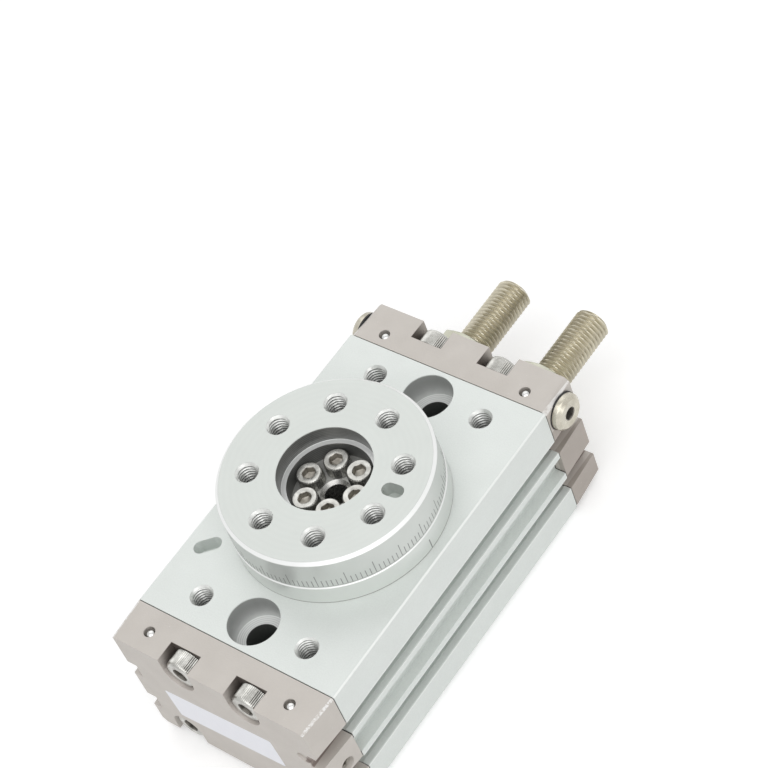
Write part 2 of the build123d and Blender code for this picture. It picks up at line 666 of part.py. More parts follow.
for name, low, width, bore, outer, ball, count in (
    (
        "upper_bearing",
        bearing_seat,
        UPPER_BEARING_WIDTH,
        UPPER_BEARING_BORE,
        UPPER_BEARING_OUTER,
        UPPER_BALL,
        UPPER_BALLS,
    ),
    (
        "lower_bearing",
        LOWER_BEARING_BASE,
        LOWER_BEARING_WIDTH,
        LOWER_BEARING_BORE,
        LOWER_BEARING_OUTER,
        LOWER_BALL,
        LOWER_BALLS,
    ),
):
    centre = (bore + outer) / 4
    land = ball * TRACK_SHARE
    save(race(low, width, bore / 2, centre - land, centre, ball), f"{name}_inner_ring")
    save(race(low, width, centre + land, outer / 2, centre, ball), f"{name}_outer_ring")
    save(caged_balls(low, width, centre, ball, count), f"{name}_balls")

# Clip below the lower bearing
with BuildPart() as bearing_clip:
    with BuildSketch(Plane.XY.offset(LOWER_BEARING_BASE - CLIP_THICK)):
        Circle(LOWER_BEARING_OUTER / 2 + CLIP_GROOVE - SEAT_FIT)
        Circle(LOWER_BEARING_OUTER / 2 - CLIP_WIDTH, mode=Mode.SUBTRACT)
        with Locations((0, -LOWER_BEARING_OUTER / 2)):
            Rectangle(CLIP_GAP, 3 * CLIP_WIDTH, mode=Mode.SUBTRACT)
    extrude(amount=CLIP_THICK)
save(bearing_clip.part, "bearing_clip")


# Gear teeth
def involute(angle):
    """Involute function of an angle in radians."""
    return math.tan(angle) - angle


def half_tooth(radius):
    """Half of the angle that a pinion tooth fills at a radius."""
    pressure = math.radians(PRESSURE_ANGLE)
    base = pitch_radius * math.cos(pressure)
    at_pitch = (math.pi * MODULE - BACKLASH) / (4 * pitch_radius)
    local = math.acos(min(1.0, base / radius))
    return at_pitch + involute(pressure) - involute(local)


def pinion_outline():
    """Corner points of the whole pinion, tooth by tooth. A tooth points along the
    table's own x when the table is in the middle of its travel."""
    base = pitch_radius * math.cos(math.radians(PRESSURE_ANGLE))
    steps = [base + (tip_radius - base) * k / 3 for k in range(4)]
    rising = [(root_radius, half_tooth(base))] + [(r, half_tooth(r)) for r in steps]
    points = []
    for tooth in range(TEETH):
        middle = 2 * math.pi * tooth / TEETH + turn
        for radius, half in rising:
            points.append((radius * math.cos(middle - half), radius * math.sin(middle - half)))
        for radius, half in reversed(rising):
            points.append((radius * math.cos(middle + half), radius * math.sin(middle + half)))
    return points


# Hollow pinion shaft
with BuildPart() as pinion_shaft:
    with BuildSketch(Plane.XZ):
        with BuildLine():
            Polyline(
                (HOLLOW / 2, LOWER_BEARING_BASE - CLIP_THICK),
                (LOWER_BEARING_BORE / 2 - SEAT_FIT, LOWER_BEARING_BASE - CLIP_THICK),
                (LOWER_BEARING_BORE / 2 - SEAT_FIT, lower_seat),
                (neck, lower_seat),
                (neck, shoulder_low),
                (shoulder, shoulder_low),
                (shoulder, bearing_seat),
                (UPPER_BEARING_BORE / 2 - SEAT_FIT, bearing_seat),
                (UPPER_BEARING_BORE / 2 - SEAT_FIT, bearing_top),
                (SPIGOT / 2, bearing_top),
                (SPIGOT / 2, recess_floor),
                (HOLLOW / 2, recess_floor - (SPIGOT - HOLLOW) / 2),
                close=True,
            )
        make_face()
    revolve(axis=Axis.Z)
    with BuildSketch(Plane.XY.offset(teeth_low)):
        with BuildLine():
            Polyline(*pinion_outline(), close=True)
        make_face()
        Circle(HOLLOW / 2, mode=Mode.SUBTRACT)
    extrude(amount=TOOTH_FACE)
    # threads for the table screws, and a hole for the pin
    with BuildSketch(table_plane.offset(bearing_top)):
        with PolarLocations(TABLE_SCREW_RADIUS, 6, start_angle=TABLE_SCREW_TURN):
            Circle(SMALL_SCREW / 2)
    extrude(amount=table_screw_end - bearing_top, mode=Mode.SUBTRACT)
    with BuildSketch(table_plane.offset(bearing_top)):
        with PolarLocations(TABLE_SCREW_RADIUS, 1, start_angle=TABLE_SCREW_TURN + 30):
            Circle(DOWEL_DIAMETER / 2)
    extrude(amount=-DOWEL_DEPTH, mode=Mode.SUBTRACT)
save(pinion_shaft.part, "pinion_shaft")

# Table
with BuildPart() as table:
    with BuildSketch(Plane.XZ):
        with BuildLine():
            Polyline(
                (SPIGOT / 2 + SEAT_FIT, bearing_top),
                (HUB_DIAMETER / 2, bearing_top),
                (HUB_DIAMETER / 2, table_bottom),
                (table_radius, table_bottom),
                (table_radius, table_top - TABLE_CHAMFER),
                (table_radius - TABLE_CHAMFER, table_top),
                (RECESS / 2, table_top),
                (RECESS / 2, table_top - RECESS_DEPTH),
                (RECESS / 2 - RECESS_STEP, table_top - RECESS_DEPTH),
                (RECESS / 2 - RECESS_STEP, recess_floor),
                (SPIGOT / 2 + SEAT_FIT, recess_floor),
                close=True,
            )
        make_face()
    revolve(axis=Axis.Z)
    # threaded holes on one circle, with the locating slot between two of them
    with BuildSketch(table_plane.offset(table_top)):
        with PolarLocations(thread_circle, 8, start_angle=22.5):
            Circle(TABLE_THREAD / 2)
    extrude(amount=-TABLE_THREAD_DEPTH, mode=Mode.SUBTRACT)
    with BuildSketch(table_plane.offset(table_top)):
        with Locations((RECESS / 2 + TABLE_SLOT_INSET, 0)):
            SlotOverall(TABLE_SLOT_LENGTH, PIN_SLOT_WIDTH)
    extrude(amount=-PIN_SLOT_DEPTH, mode=Mode.SUBTRACT)
    # screws that hold the table on the shaft, and their pin
    with BuildSketch(table_plane.offset(recess_floor)):
        with PolarLocations(TABLE_SCREW_RADIUS, 6, start_angle=TABLE_SCREW_TURN):
            Circle(SMALL_SCREW / 2 + SCREW_ROOM)
    extrude(amount=-(recess_floor - bearing_top), mode=Mode.SUBTRACT)
    with BuildSketch(table_plane.offset(bearing_top)):
        with PolarLocations(TABLE_SCREW_RADIUS, 1, start_angle=TABLE_SCREW_TURN + 30):
            Circle(DOWEL_DIAMETER / 2)
    extrude(amount=DOWEL_RISE, mode=Mode.SUBTRACT)
save(table.part, "table")

with BuildPart() as table_screws:
    for step in range(6):
        angle = math.radians(TABLE_TURN + TABLE_SCREW_TURN + 60 * step)
        reach = TABLE_SCREW_RADIUS
        add(
            cap_screw(
                Plane((reach * math.cos(angle), reach * math.sin(angle), recess_floor)),
                SMALL_SCREW,
                TABLE_SCREW_LENGTH,
                SMALL_HEAD,
                SMALL_HEAD_HEIGHT,
                SMALL_SOCKET,
            )
        )
save(table_screws.part, "table_screws")

with BuildPart() as table_pin:
    with BuildSketch(table_plane.offset(bearing_top - DOWEL_DEPTH)):
        with PolarLocations(TABLE_SCREW_RADIUS, 1, start_angle=TABLE_SCREW_TURN + 30):
            Circle(DOWEL_DIAMETER / 2 - SEAT_FIT)
    extrude(amount=DOWEL_DEPTH + DOWEL_RISE)
save(table_pin.part, "table_pin")


# Pistons with racks
def rack_piston(hand):
    """Piston on one side of the pinion. A gap of the right rack and a tooth of the left
    one face the table axis when the table is in the middle of its travel."""
    shift = hand * rest_shift
    tip = pitch_radius - RACK_ADDENDUM
    root = tip_radius + TOOTH_CLEARANCE
    pitch = math.pi * MODULE
    slope = math.tan(math.radians(PRESSURE_ANGLE))
    count = int((RACK_HALF_LENGTH - MODULE) / pitch)
    gaps = [step * pitch for step in range(-count, count + 1)]
    if hand < 0:
        gaps = [(step + 0.5) * pitch for step in range(-count - 1, count + 1)]
    mouth = (pitch + BACKLASH) / 4 + slope * 2 * RACK_ADDENDUM
    floor = (pitch + BACKLASH) / 4 - slope * (root - pitch_radius)
    with BuildPart() as piston:
        with BuildSketch(facing(1, shift - PISTON_LENGTH / 2)):
            with Locations((-hand * piston_x, AXIS_HEIGHT)):
                Circle(BORE / 2 - RUN_FIT)
        extrude(amount=PISTON_LENGTH)
        # grooves for the seals, the wear ring and the magnet
        for end in (-1, 1):
            for place, width, depth in (
                (SEAL_PLACE, SEAL_WIDTH, SEAL_DEPTH),
                (BAND_PLACE, BAND_WIDTH, BAND_DEPTH),
            ):
                middle = shift + end * (PISTON_LENGTH / 2 - place)
                with BuildSketch(facing(1, middle - width / 2)):
                    with Locations((-hand * piston_x, AXIS_HEIGHT)):
                        Circle(BORE / 2)
                        Circle(BORE / 2 - RUN_FIT - depth, mode=Mode.SUBTRACT)
                extrude(amount=width, mode=Mode.SUBTRACT)
        # flat along the rack, then the gaps between its teeth
        with BuildSketch(Plane.XY.offset(AXIS_HEIGHT)):
            with Locations((hand * (tip - piston_x / 2), shift)):
                Rectangle(piston_x, 2 * RACK_HALF_LENGTH)
        extrude(amount=BORE / 2, both=True, mode=Mode.SUBTRACT)
        with BuildSketch(Plane.XY.offset(AXIS_HEIGHT)):
            for gap in gaps:
                with BuildLine():
                    middle = shift + gap
                    Polyline(
                        (hand * (tip - RACK_ADDENDUM), middle - mouth),
                        (hand * root, middle - floor),
                        (hand * root, middle + floor),
                        (hand * (tip - RACK_ADDENDUM), middle + mouth),
                        close=True,
                    )
                make_face()
        extrude(amount=BORE / 2, both=True, mode=Mode.SUBTRACT)
    return piston.part


def piston_band(hand, place, width, depth, room):
    """Ring in a groove of a piston, with some room between it and the bore."""
    with BuildPart() as band:
        with BuildSketch(facing(1, place - width / 2 + SEAT_FIT)):
            with Locations((-hand * piston_x, AXIS_HEIGHT)):
                Circle(BORE / 2 - room)
                Circle(BORE / 2 - RUN_FIT - depth + SEAT_FIT / 2, mode=Mode.SUBTRACT)
        extrude(amount=width - 2 * SEAT_FIT)
    return band.part


for hand, name in ((-1, "left"), (1, "right")):
    shift = hand * rest_shift
    seal_end = PISTON_LENGTH / 2 - SEAL_PLACE
    band_end = PISTON_LENGTH / 2 - BAND_PLACE
    save(rack_piston(hand), f"{name}_rack_piston")
    save(
        piston_band(hand, shift - seal_end, SEAL_WIDTH, SEAL_DEPTH, SEAL_FIT),
        f"{name}_front_seal",
    )
    save(
        piston_band(hand, shift + seal_end, SEAL_WIDTH, SEAL_DEPTH, SEAL_FIT),
        f"{name}_rear_seal",
    )
    save(
        piston_band(hand, shift - band_end, BAND_WIDTH, BAND_DEPTH, SEAT_FIT),
        f"{name}_wear_ring",
    )
    save(
        piston_band(hand, shift + band_end, BAND_WIDTH, BAND_DEPTH, 2 * RUN_FIT),
        f"{name}_magnet",
    )


# Adjusting bolts with their pads, sealing washers and nuts
def across_bolt(hand, distance):
    """Plane across an adjusting bolt, centred on it and facing outwards."""
    return Plane(
        origin=(hand * piston_x, distance, AXIS_HEIGHT), x_dir=(1, 0, 0), z_dir=(0, 1, 0)
    )


for hand, name in ((-1, "left"), (1, "right")):
    with BuildPart() as adjusting_bolt:
        with BuildSketch(across_bolt(hand, bolt_inner)):
            Circle(BOLT / 2)
        extrude(amount=BOLT_TIP - bolt_inner)
        chamfer(adjusting_bolt.faces().sort_by(Axis.Y)[-1].edges(), BOLT_CHAMFER)
        with BuildSketch(across_bolt(hand, BOLT_TIP)):
            RegularPolygon(BOLT_SOCKET / 2, 6, major_radius=False)
        extrude(amount=-BOLT_SOCKET_DEPTH, mode=Mode.SUBTRACT)
        with BuildSketch(across_bolt(hand, bolt_inner)):
            Circle(PAD_DIAMETER / 2 + SEAT_FIT)
        extrude(amount=PAD_SEAT, mode=Mode.SUBTRACT)
    save(adjusting_bolt.part, f"{name}_adjusting_bolt")

    with BuildPart() as stop_pad:
        with BuildSketch(across_bolt(hand, stop_y)):
            Circle(PAD_DIAMETER / 2)
        extrude(amount=PAD_PROUD + PAD_SEAT)
    save(stop_pad.part, f"{name}_stop_pad")

    with BuildPart() as seal_washer:
        with BuildSketch(across_bolt(hand, cover_outer)):
            Circle(WASHER_DIAMETER / 2)
            Circle(BOLT / 2 + RUN_FIT, mode=Mode.SUBTRACT)
        extrude(amount=WASHER_THICK)
    save(seal_washer.part, f"{name}_seal_washer")

    with BuildPart() as lock_nut:
        with BuildSketch(across_bolt(hand, washer_outer)):
            RegularPolygon(NUT_FLATS / 2, 6, major_radius=False, rotation=30)
        extrude(amount=NUT_HEIGHT)
        # both ends turned to a cone, which rounds off the corners
        with BuildSketch(Plane((hand * piston_x, 0, AXIS_HEIGHT))):
            with BuildLine():
                Polyline(
                    (0, washer_outer),
                    (NUT_FLATS / 2 - NUT_CHAMFER, washer_outer),
                    (nut_corner, washer_outer + NUT_CHAMFER),
                    (nut_corner, nut_outer - NUT_CHAMFER),
                    (NUT_FLATS / 2 - NUT_CHAMFER, nut_outer),
                    (0, nut_outer),
                    close=True,
                )
            make_face()
        revolve(axis=Axis((hand * piston_x, 0, AXIS_HEIGHT), (0, 1, 0)), mode=Mode.INTERSECT)
        with BuildSketch(across_bolt(hand, washer_outer)):
            Circle(BOLT / 2 + RUN_FIT)
        extrude(amount=NUT_HEIGHT, mode=Mode.SUBTRACT)
    save(lock_nut.part, f"{name}_lock_nut")
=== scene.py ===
# %% [markdown]
# # A pneumatic rotary table
# A solid block holds two air pistons with racks that turn a small pinion. The pinion
# carries a round table on a bearing. The CAD model already has every solid in its place,
# so this lesson only dresses it: threads, knurls, fine edges, a scale, and finishes.

# %% Load the model
import json
import math

import bpy
import numpy as np
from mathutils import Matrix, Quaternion, Vector


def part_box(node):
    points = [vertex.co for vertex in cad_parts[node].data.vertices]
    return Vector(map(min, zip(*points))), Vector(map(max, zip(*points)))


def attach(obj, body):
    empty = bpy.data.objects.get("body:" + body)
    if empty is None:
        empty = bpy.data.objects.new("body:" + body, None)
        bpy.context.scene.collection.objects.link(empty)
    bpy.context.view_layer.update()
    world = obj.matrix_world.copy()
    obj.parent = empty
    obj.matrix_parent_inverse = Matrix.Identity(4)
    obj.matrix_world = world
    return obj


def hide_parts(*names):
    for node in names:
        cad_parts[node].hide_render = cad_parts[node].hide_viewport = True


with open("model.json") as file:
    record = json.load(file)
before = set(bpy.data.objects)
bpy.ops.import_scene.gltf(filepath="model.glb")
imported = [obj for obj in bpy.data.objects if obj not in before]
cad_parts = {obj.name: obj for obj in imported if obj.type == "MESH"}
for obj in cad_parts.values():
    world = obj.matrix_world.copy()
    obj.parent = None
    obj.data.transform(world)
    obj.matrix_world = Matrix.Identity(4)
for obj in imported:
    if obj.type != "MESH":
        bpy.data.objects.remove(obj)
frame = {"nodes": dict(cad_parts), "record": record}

MM = 0.001  # a millimetre in the model's metres
PISTON_X, PISTON_Z = 10.2, 16.5  # axes of the pistons and of their stop bolts
MOUNT_Y = 30.0  # the mounting holes and threads lie this far from the table axis
PASSAGE_X = 18.0  # upright drillings and air ports of the covers
TABLE_TURN = 6.2  # degrees that the table stands off the middle of its travel

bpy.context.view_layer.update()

# %% [markdown]
# ## Camera and light
# The picture was taken from above the front right corner with a long lens. The camera
# gets the place and the turn that were solved from the holes of the block, so each
# edge falls where the photograph has it. The light is a plain white room: an even sky,
# a large soft lamp above the camera, a weak one behind, and a small one at the right,
# so that the top faces are brightest and the right side stays clear.

# %% Camera
eye = bpy.data.cameras.new("camera")
eye.lens, eye.sensor_width = 120.695, 36.0
eye.clip_start, eye.clip_end = 0.01, 20.0
camera = bpy.data.objects.new("camera", eye)
bpy.context.scene.collection.objects.link(camera)
camera.rotation_mode = "QUATERNION"
camera.rotation_quaternion = Quaternion((0.9031165, 0.2746957, 0.2172241, 0.2484686))
camera.location = (0.268803, -0.176122, 0.432336)
bpy.context.scene.camera = camera
print("camera", [round(c, 3) for c in camera.location])

# %% [markdown]
# Shader maths reads best as plain arithmetic, so one small class wraps a socket and
# turns `a * b + c` into Math nodes. Its `node` method adds any other kind of node.


# %% Shader arithmetic
class Wire:
    """One output of a material's node tree, with the operators that pattern maths needs."""

    def __init__(self, tree, socket=None):
        self.tree, self.socket = tree, socket

    def node(self, kind, settings=None, sockets=None, out=0):
        """Adds a node, sets its settings and then its sockets, and returns one output."""
        made = self.tree.nodes.new(kind)
        for key, value in (settings or {}).items():
            setattr(made, key, value)
        for key, value in (sockets or {}).items():
            if isinstance(value, Wire):
                self.tree.links.new(value.socket, made.inputs[key])
            else:
                made.inputs[key].default_value = value
        return Wire(self.tree, made.outputs[out] if made.outputs else None)

    def math(self, operation, first, second=0.0):
        return self.node("ShaderNodeMath", {"operation": operation}, {0: first, 1: second})

    def __add__(self, other):
        return self.math("ADD", self, other)

    def __sub__(self, other):
        return self.math("SUBTRACT", self, other)

    def __rsub__(self, other):
        return self.math("SUBTRACT", other, self)

    def __mul__(self, other):
        return self.math("MULTIPLY", self, other)

    def __pow__(self, other):
        return self.math("POWER", self, other)

    __radd__, __rmul__ = __add__, __mul__

    def sine(self):
        return self.math("SINE", self)

    def size(self):
        """The value without its sign."""
        return self.math("ABSOLUTE", self)

    def larger(self, other):
        return self.math("MAXIMUM", self, other)

    def clip(self, low, high):
        """0 below low, 1 above high, and a smooth step between them."""
        sockets = {0: self, 1: low, 2: high, 3: 0.0, 4: 1.0}
        return self.node("ShaderNodeMapRange", {"interpolation_type": "SMOOTHSTEP"}, sockets)

    def tint(self, first, second):
        """Colour that goes from first to second as this value goes from 0 to 1."""
        pair = [c if isinstance(c, Wire) else (*c, 1.0) for c in (first, second)]
        sockets = {0: self, 6: pair[0], 7: pair[1]}
        return self.node("ShaderNodeMix", {"data_type": "RGBA"}, sockets, out=2)


print("wire operators ready")

# %% [markdown]
# The floor and the backdrop are paper white. They answer the camera and reflections
# with plain white through Light Path, and the floor still keeps a faint shadow.


# %% Room
def seen_directly(start):
    """1 for rays from the camera, from a mirror or through glass, and 0 for the rest."""
    path = start.node("ShaderNodeLightPath")
    outputs = path.socket.node.outputs
    rays = [Wire(start.tree, outputs[name]) for name in
            ("Is Camera Ray", "Is Glossy Ray", "Is Transmission Ray")]
    return rays[0].larger(rays[1]).larger(rays[2])


world = bpy.data.worlds.new("studio")
world.use_nodes = True
bpy.context.scene.world = world
sky = Wire(world.node_tree)
backdrop = world.node_tree.nodes["Background"]
share = seen_directly(sky)
strength = 0.56 + 0.44 * share
backdrop.inputs["Color"].default_value = (1.0, 1.0, 1.0, 1.0)
world.node_tree.links.new(strength.socket, backdrop.inputs["Strength"])

paper = bpy.data.materials.new("floor_paper")
paper.use_nodes = True
paper.node_tree.nodes.clear()
start = Wire(paper.node_tree)
matt = start.node("ShaderNodeBsdfDiffuse", sockets={"Color": (0.86, 0.86, 0.86, 1.0)})
glow = start.node("ShaderNodeEmission", sockets={"Strength": 0.30})
dark = start.node("ShaderNodeEmission", sockets={"Strength": 0.0})
lift = start.node("ShaderNodeMixShader", sockets={0: seen_directly(start), 1: dark, 2: glow})
both = start.node("ShaderNodeAddShader", sockets={0: matt, 1: lift})
start.node("ShaderNodeOutputMaterial", sockets={"Surface": both})

floor_mesh = bpy.data.meshes.new("floor")
floor_mesh.from_pydata([(-3, -3, 0), (3, -3, 0), (3, 3, 0), (-3, 3, 0)], [], [(0, 1, 2, 3)])
floor = bpy.data.objects.new("floor", floor_mesh)
floor_mesh.materials.append(paper)
bpy.context.scene.collection.objects.link(floor)


def soft_lamp(name, place, size, power):
    """Square lamp that looks at the block."""
    lamp = bpy.data.lights.new(name, "AREA")
    lamp.size, lamp.energy = size, power
    held = bpy.data.objects.new(name, lamp)
    held.location = place
    aim = Vector((0, 0, 0.02)) - Vector(place)
    held.rotation_mode = "QUATERNION"
    held.rotation_quaternion = aim.to_track_quat("-Z", "Y")
    bpy.context.scene.collection.objects.link(held)


soft_lamp("key_lamp", (0.36, -0.38, 1.0), 1.2, 5.8)
soft_lamp("back_lamp", (-0.5, 0.5, 0.8), 0.8, 1.2)
soft_lamp("side_lamp", (0.75, -0.05, 0.22), 0.5, 0.55)
print("room ready")

# %% [markdown]
# ## Finishes
# Every finish below is a small recipe of patterns on Object coordinates, which here are
# metres in the model's own frame. A recipe returns the values that change over the
# surface, and the rest are plain numbers on the shader.


# %% Finish helper
def finish(name, rough, metal, recipe, coat=0.0, gloss=0.5):
    """Material from numbers, and from a recipe that returns the sockets that vary."""
    made = bpy.data.materials.new(name)
    made.use_nodes = True
    shader = made.node_tree.nodes["Principled BSDF"]
    shader.inputs["Roughness"].default_value = rough
    shader.inputs["Metallic"].default_value = metal
    shader.inputs["Coat Weight"].default_value = coat
    shader.inputs["Specular IOR Level"].default_value = gloss
    begin = Wire(made.node_tree)
    place = begin.node("ShaderNodeTexCoord", out=3)
    for socket, wire in recipe(place).items():
        made.node_tree.links.new(wire.socket, shader.inputs[socket])
    return made


def noise(place, size, detail=2.0, sharp=0.5):
    """Cloudy pattern from 0 to 1 whose clouds are about size millimetres."""
    sockets = {"Vector": place, "Scale": 1.0 / (size * MM), "Detail": detail, "Roughness": sharp}
    return place.node("ShaderNodeTexNoise", sockets=sockets)


def grains(place, size):
    """Distance to the nearest of many scattered points, size millimetres apart."""
    return place.node("ShaderNodeTexVoronoi", sockets={"Vector": place, "Scale": 1.0 / (size * MM)})


def bump(height, depth):
    """Surface normal from a height from 0 to 1 that stands for depth millimetres."""
    return height.node("ShaderNodeBump", sockets={
        "Strength": 1.0, "Distance": depth * MM, "Height": height})


def axes(place):
    """The three coordinates of a point, in metres."""
    split = place.node("ShaderNodeSeparateXYZ", sockets={0: place})
    return [Wire(place.tree, split.socket.node.outputs[i]) for i in range(3)]


def across(x, y):
    """Distance from an axis, from the distances along the two directions square to it."""
    return (x * x + y * y) ** 0.5


def over(value, edge):
    """1 where a length is over edge millimetres, 0 under it, with a soft step between."""
    return value.clip(edge * MM, (edge + 0.1) * MM)


def below(value, edge):
    """1 where a length is under edge millimetres, and 0 over it."""
    return 1.0 - over(value, edge)


def band(value, low, high):
    """1 where a length lies between low and high millimetres."""
    return over(value, low) * below(value, high)


def waves(size):
    """Factor that turns metres into the phase of a wave size millimetres long."""
    return 2 * math.pi / (size * MM)


print("finish helpers ready")

# %% [markdown]
# The block is an aluminium profile, blasted with fine glass beads and clear anodised. Beads
# leave shallow round dents that meet edge to edge, so a fine cell pattern gives the
# dents and a wide faint cloud keeps the grey from being perfectly even.


# %% Blasted block
def blasted(place):
    """Recipe of the block: blasted skin, painted highlights on long edges, bored holes with painted
    shade.
    """
    x, y, rise = axes(place)
    dents = grains(place, 0.22)
    cloud = noise(place, 7.0, 3.0)
    speck = noise(place, 0.34, 3.0, 0.7).clip(0.33, 0.67)
    shade = 0.6 * cloud + 0.4 * speck
    skin = shade.tint((0.665, 0.695, 0.672), (0.755, 0.788, 0.765))
    # a painted highlight brightens the broken long edges of the block and of its slots
    far = (rise - PISTON_Z * MM).size()
    highlight_lips = band(far, 8.12, 8.45) + band(far, 4.15, 4.48) + over(rise, 33.62)
    edge = highlight_lips * over(x.size(), 24.68)
    skin = edge.clip(0.0, 1.0).tint(skin, (0.83, 0.85, 0.83))
    # the two mounting holes are bored after blasting: turned walls with painted shade that darkens
    # them towards the top, a bright seat for the screw head, and a drilled hole below it painted
    # nearly black as shade
    reach = across(x, y.size() - MOUNT_Y * MM)
    bored = below(reach, 5.55) * below(rise, 33.7)
    cuts = 0.5 + 0.5 * ((rise + reach) * waves(0.45) + 2.0 * cloud).sine()
    depth = rise.clip(27.6 * MM, 32.5 * MM)
    wall = depth.tint((0.66, 0.67, 0.66), (0.37, 0.38, 0.37))
    seat = below(rise, 27.55) * over(reach, 3.5)
    wall = seat.tint(wall, cuts.tint((0.68, 0.69, 0.68), (0.86, 0.87, 0.86)))
    shaded_bore = below(reach, 3.45) * below(rise, 27.7)
    wall = shaded_bore.tint(wall, (0.085, 0.09, 0.085))
    return {
        "Base Color": bored.tint(skin, wall),
        "Roughness": 0.38 + 0.16 * speck,
        "Normal": bump(dents * 0.6 + speck * 0.4, 0.016),
    }


block_finish = finish("block_blasted_anodised", 0.45, 0.30, blasted, gloss=0.4)
print(block_finish.name)

# %% [markdown]
# The end covers are die castings, blasted and painted in a warm satin grey. The casting
# skin shows as a soft, coarser grain with a few bright specks where paint is thin.


# %% Cast covers
def cast_skin(place):
    """Recipe of the covers: painted casting skin, zones of painted shade and painted highlights,
    wear and knocks.
    """
    x, y, rise = axes(place)
    wide, long, rear = x.size(), y.size(), over(y, 36)
    skin = noise(place, 0.42, 4.0, 0.65)
    cloud = noise(place, 5.0, 3.0)
    specks = grains(place, 1.9).clip(0.0, 0.06)
    body = cloud.tint((0.520, 0.487, 0.450), (0.605, 0.570, 0.532))
    # painted shade makes the floors of the side grooves darker and slightly browner
    shaded_groove = band(wide, 20.5, 22.4) * below(long, 45.8) * below(rise, 29)
    body = shaded_groove.tint(body, cloud.tint((0.27, 0.225, 0.205), (0.36, 0.31, 0.285)))
    # the notches of the screw heads lie in shade, deepest at their floors
    lift = rise - 30.2 * MM
    lift = lift.math("MINIMUM", lift, 0.0)
    notch = below(across(wide - 8.45 * MM, lift), 3.83) * over(long, 41.3) * over(rise, 24)
    shade = long.clip(42.4 * MM, 46.4 * MM)
    body = notch.tint(body, shade.tint((0.135, 0.115, 0.102), (0.53, 0.49, 0.455)))
    # painted shade makes the outer sides of the rear cover darker and browner than its top
    shaded_flank = over(wide, 23.7) * below(rise, 27.5) * rear
    body = shaded_flank.tint(body, cloud.tint((0.385, 0.345, 0.310), (0.445, 0.402, 0.365)))
    # the long chamfers of the rear cover are lighter in spots, partly from handling and partly as a
    # painted highlight
    worn_and_highlight = over(wide, 24.05) * over(rise, 33.0) * rear
    worn_and_highlight = worn_and_highlight * noise(place, 0.8, 3.0).clip(0.25, 0.55)
    body = worn_and_highlight.tint(body, (0.76, 0.745, 0.72))
    # the long edges of the front cover are knocked, so paint is missing in small spots, and they
    # carry a painted highlight;
    # its sides lean in by 0.0612 mm per millimetre of mould draft
    drafted = wide + (long - 36.7 * MM) * 0.0612
    knocked_and_highlight = over(drafted, 24.45) * over(rise, 33.5) * below(y, -36)
    knocked_and_highlight = knocked_and_highlight * noise(place, 0.55, 2.0, 0.7).clip(0.36, 0.60)
    body = knocked_and_highlight.tint(body, (0.80, 0.79, 0.775))
    return {
        "Base Color": specks.tint((0.80, 0.78, 0.76), body),
        "Roughness": 0.42 + 0.22 * skin,
        "Normal": bump(skin, 0.035),
    }


cover_finish = finish("cover_cast_satin", 0.5, 0.25, cast_skin, gloss=0.45)
print(cover_finish.name)

# %% [markdown]
# The table and the ring are turned on a lathe, so their marks are rings round the
# table axis. A sine of the distance from the axis gives the rings, and a noise that
# bends the phase keeps them from looking ruled.


# %% Turned aluminium
def turned_rings(place):
    """Recipe of the table and the ring: lathe marks, chamfers with a painted highlight, a pocket
    with painted shade.
    """
    x, y, rise = axes(place)
    radius = across(x, y)
    wobble = noise(place, 6.0, 2.0)
    fine = (radius * waves(0.16) + 3.0 * wobble).sine()
    broad = (radius * waves(1.35) + 5.0 * wobble).sine()
    shade = 0.5 + 0.08 * fine + 0.05 * broad + 0.5 * (wobble - 0.5)
    # the ring below the table is a little lighter than the table
    skin = below(rise, 39.05).tint(
        shade.tint((0.560, 0.586, 0.563), (0.655, 0.684, 0.655)),
        shade.tint((0.640, 0.668, 0.643), (0.745, 0.778, 0.745)))
    # inside the central pocket, painted shade darkens the wall and the floor, and a painted
    # highlight brightens the step
    shaded_recess = below(radius, 10.05) * below(rise, 46.75)
    lathe = (rise * waves(0.5) + 4.0 * wobble).sine()
    wall = (0.5 + 0.3 * lathe).tint((0.095, 0.097, 0.093), (0.21, 0.212, 0.205))
    wall = below(rise, 38.95).tint(wall, (0.40, 0.40, 0.385))
    wall = band(rise, 42.85, 43.05).tint(wall, (0.80, 0.81, 0.80))
    # a painted highlight brightens the outer chamfers of the table and of the ring
    rim = over(radius, 21.80) * over(rise, 46.30)
    lip_highlight = over(radius, 22.38) * band(rise, 38.72, 39.02)
    skin = rim.larger(lip_highlight).tint(skin, (0.90, 0.91, 0.90))
    # the ring is darker at its foot, in the corner against the block
    foot = below(rise, 34.12) * over(radius, 22.0)
    skin = foot.tint(skin, (0.30, 0.30, 0.285))
    return {
        "Base Color": shaded_recess.tint(skin, wall),
        "Roughness": 0.30 + 0.07 * shade,
        "Normal": bump(0.5 + 0.5 * fine, 0.0025),
    }


turned_finish = finish("table_turned_anodised", 0.33, 0.35, turned_rings, gloss=0.5)
print(turned_finish.name)

# %% [markdown]
# Plated steel looks the same from every side but never perfectly clean: a cloud of
# slightly darker film, and fine scratches. One recipe serves every plated or ground
# piece, and only the two colours and the roughness differ.


# %% Plated and ground steel
def plated(light, dark, low, high, grain=0.35, depth=0.004, valley=1.0):
    """Recipe of a metal film between two colours, with roughness from low to high. Where
    valley is under 1, the film fades to that share of its dark colour at the bottom of a
    thread, which the piece marks with its own attribute; this is painted shade, and partly oil."""

    def recipe(place):
        film = noise(place, 2.2, 4.0, 0.6).clip(0.3, 0.72)
        scratch = noise(place, grain, 3.0, 0.6)
        color = film.tint(dark, light)
        if valley < 1:
            valley_shade = place.node("ShaderNodeAttribute", {"attribute_name": "valley"}, out=2)
            color = valley_shade.clip(0.25, 0.95).tint(color, [c * valley for c in dark])
        return {
            "Base Color": color,
            "Roughness": low + (high - low) * scratch,
            "Normal": bump(scratch, depth),
        }

    return recipe


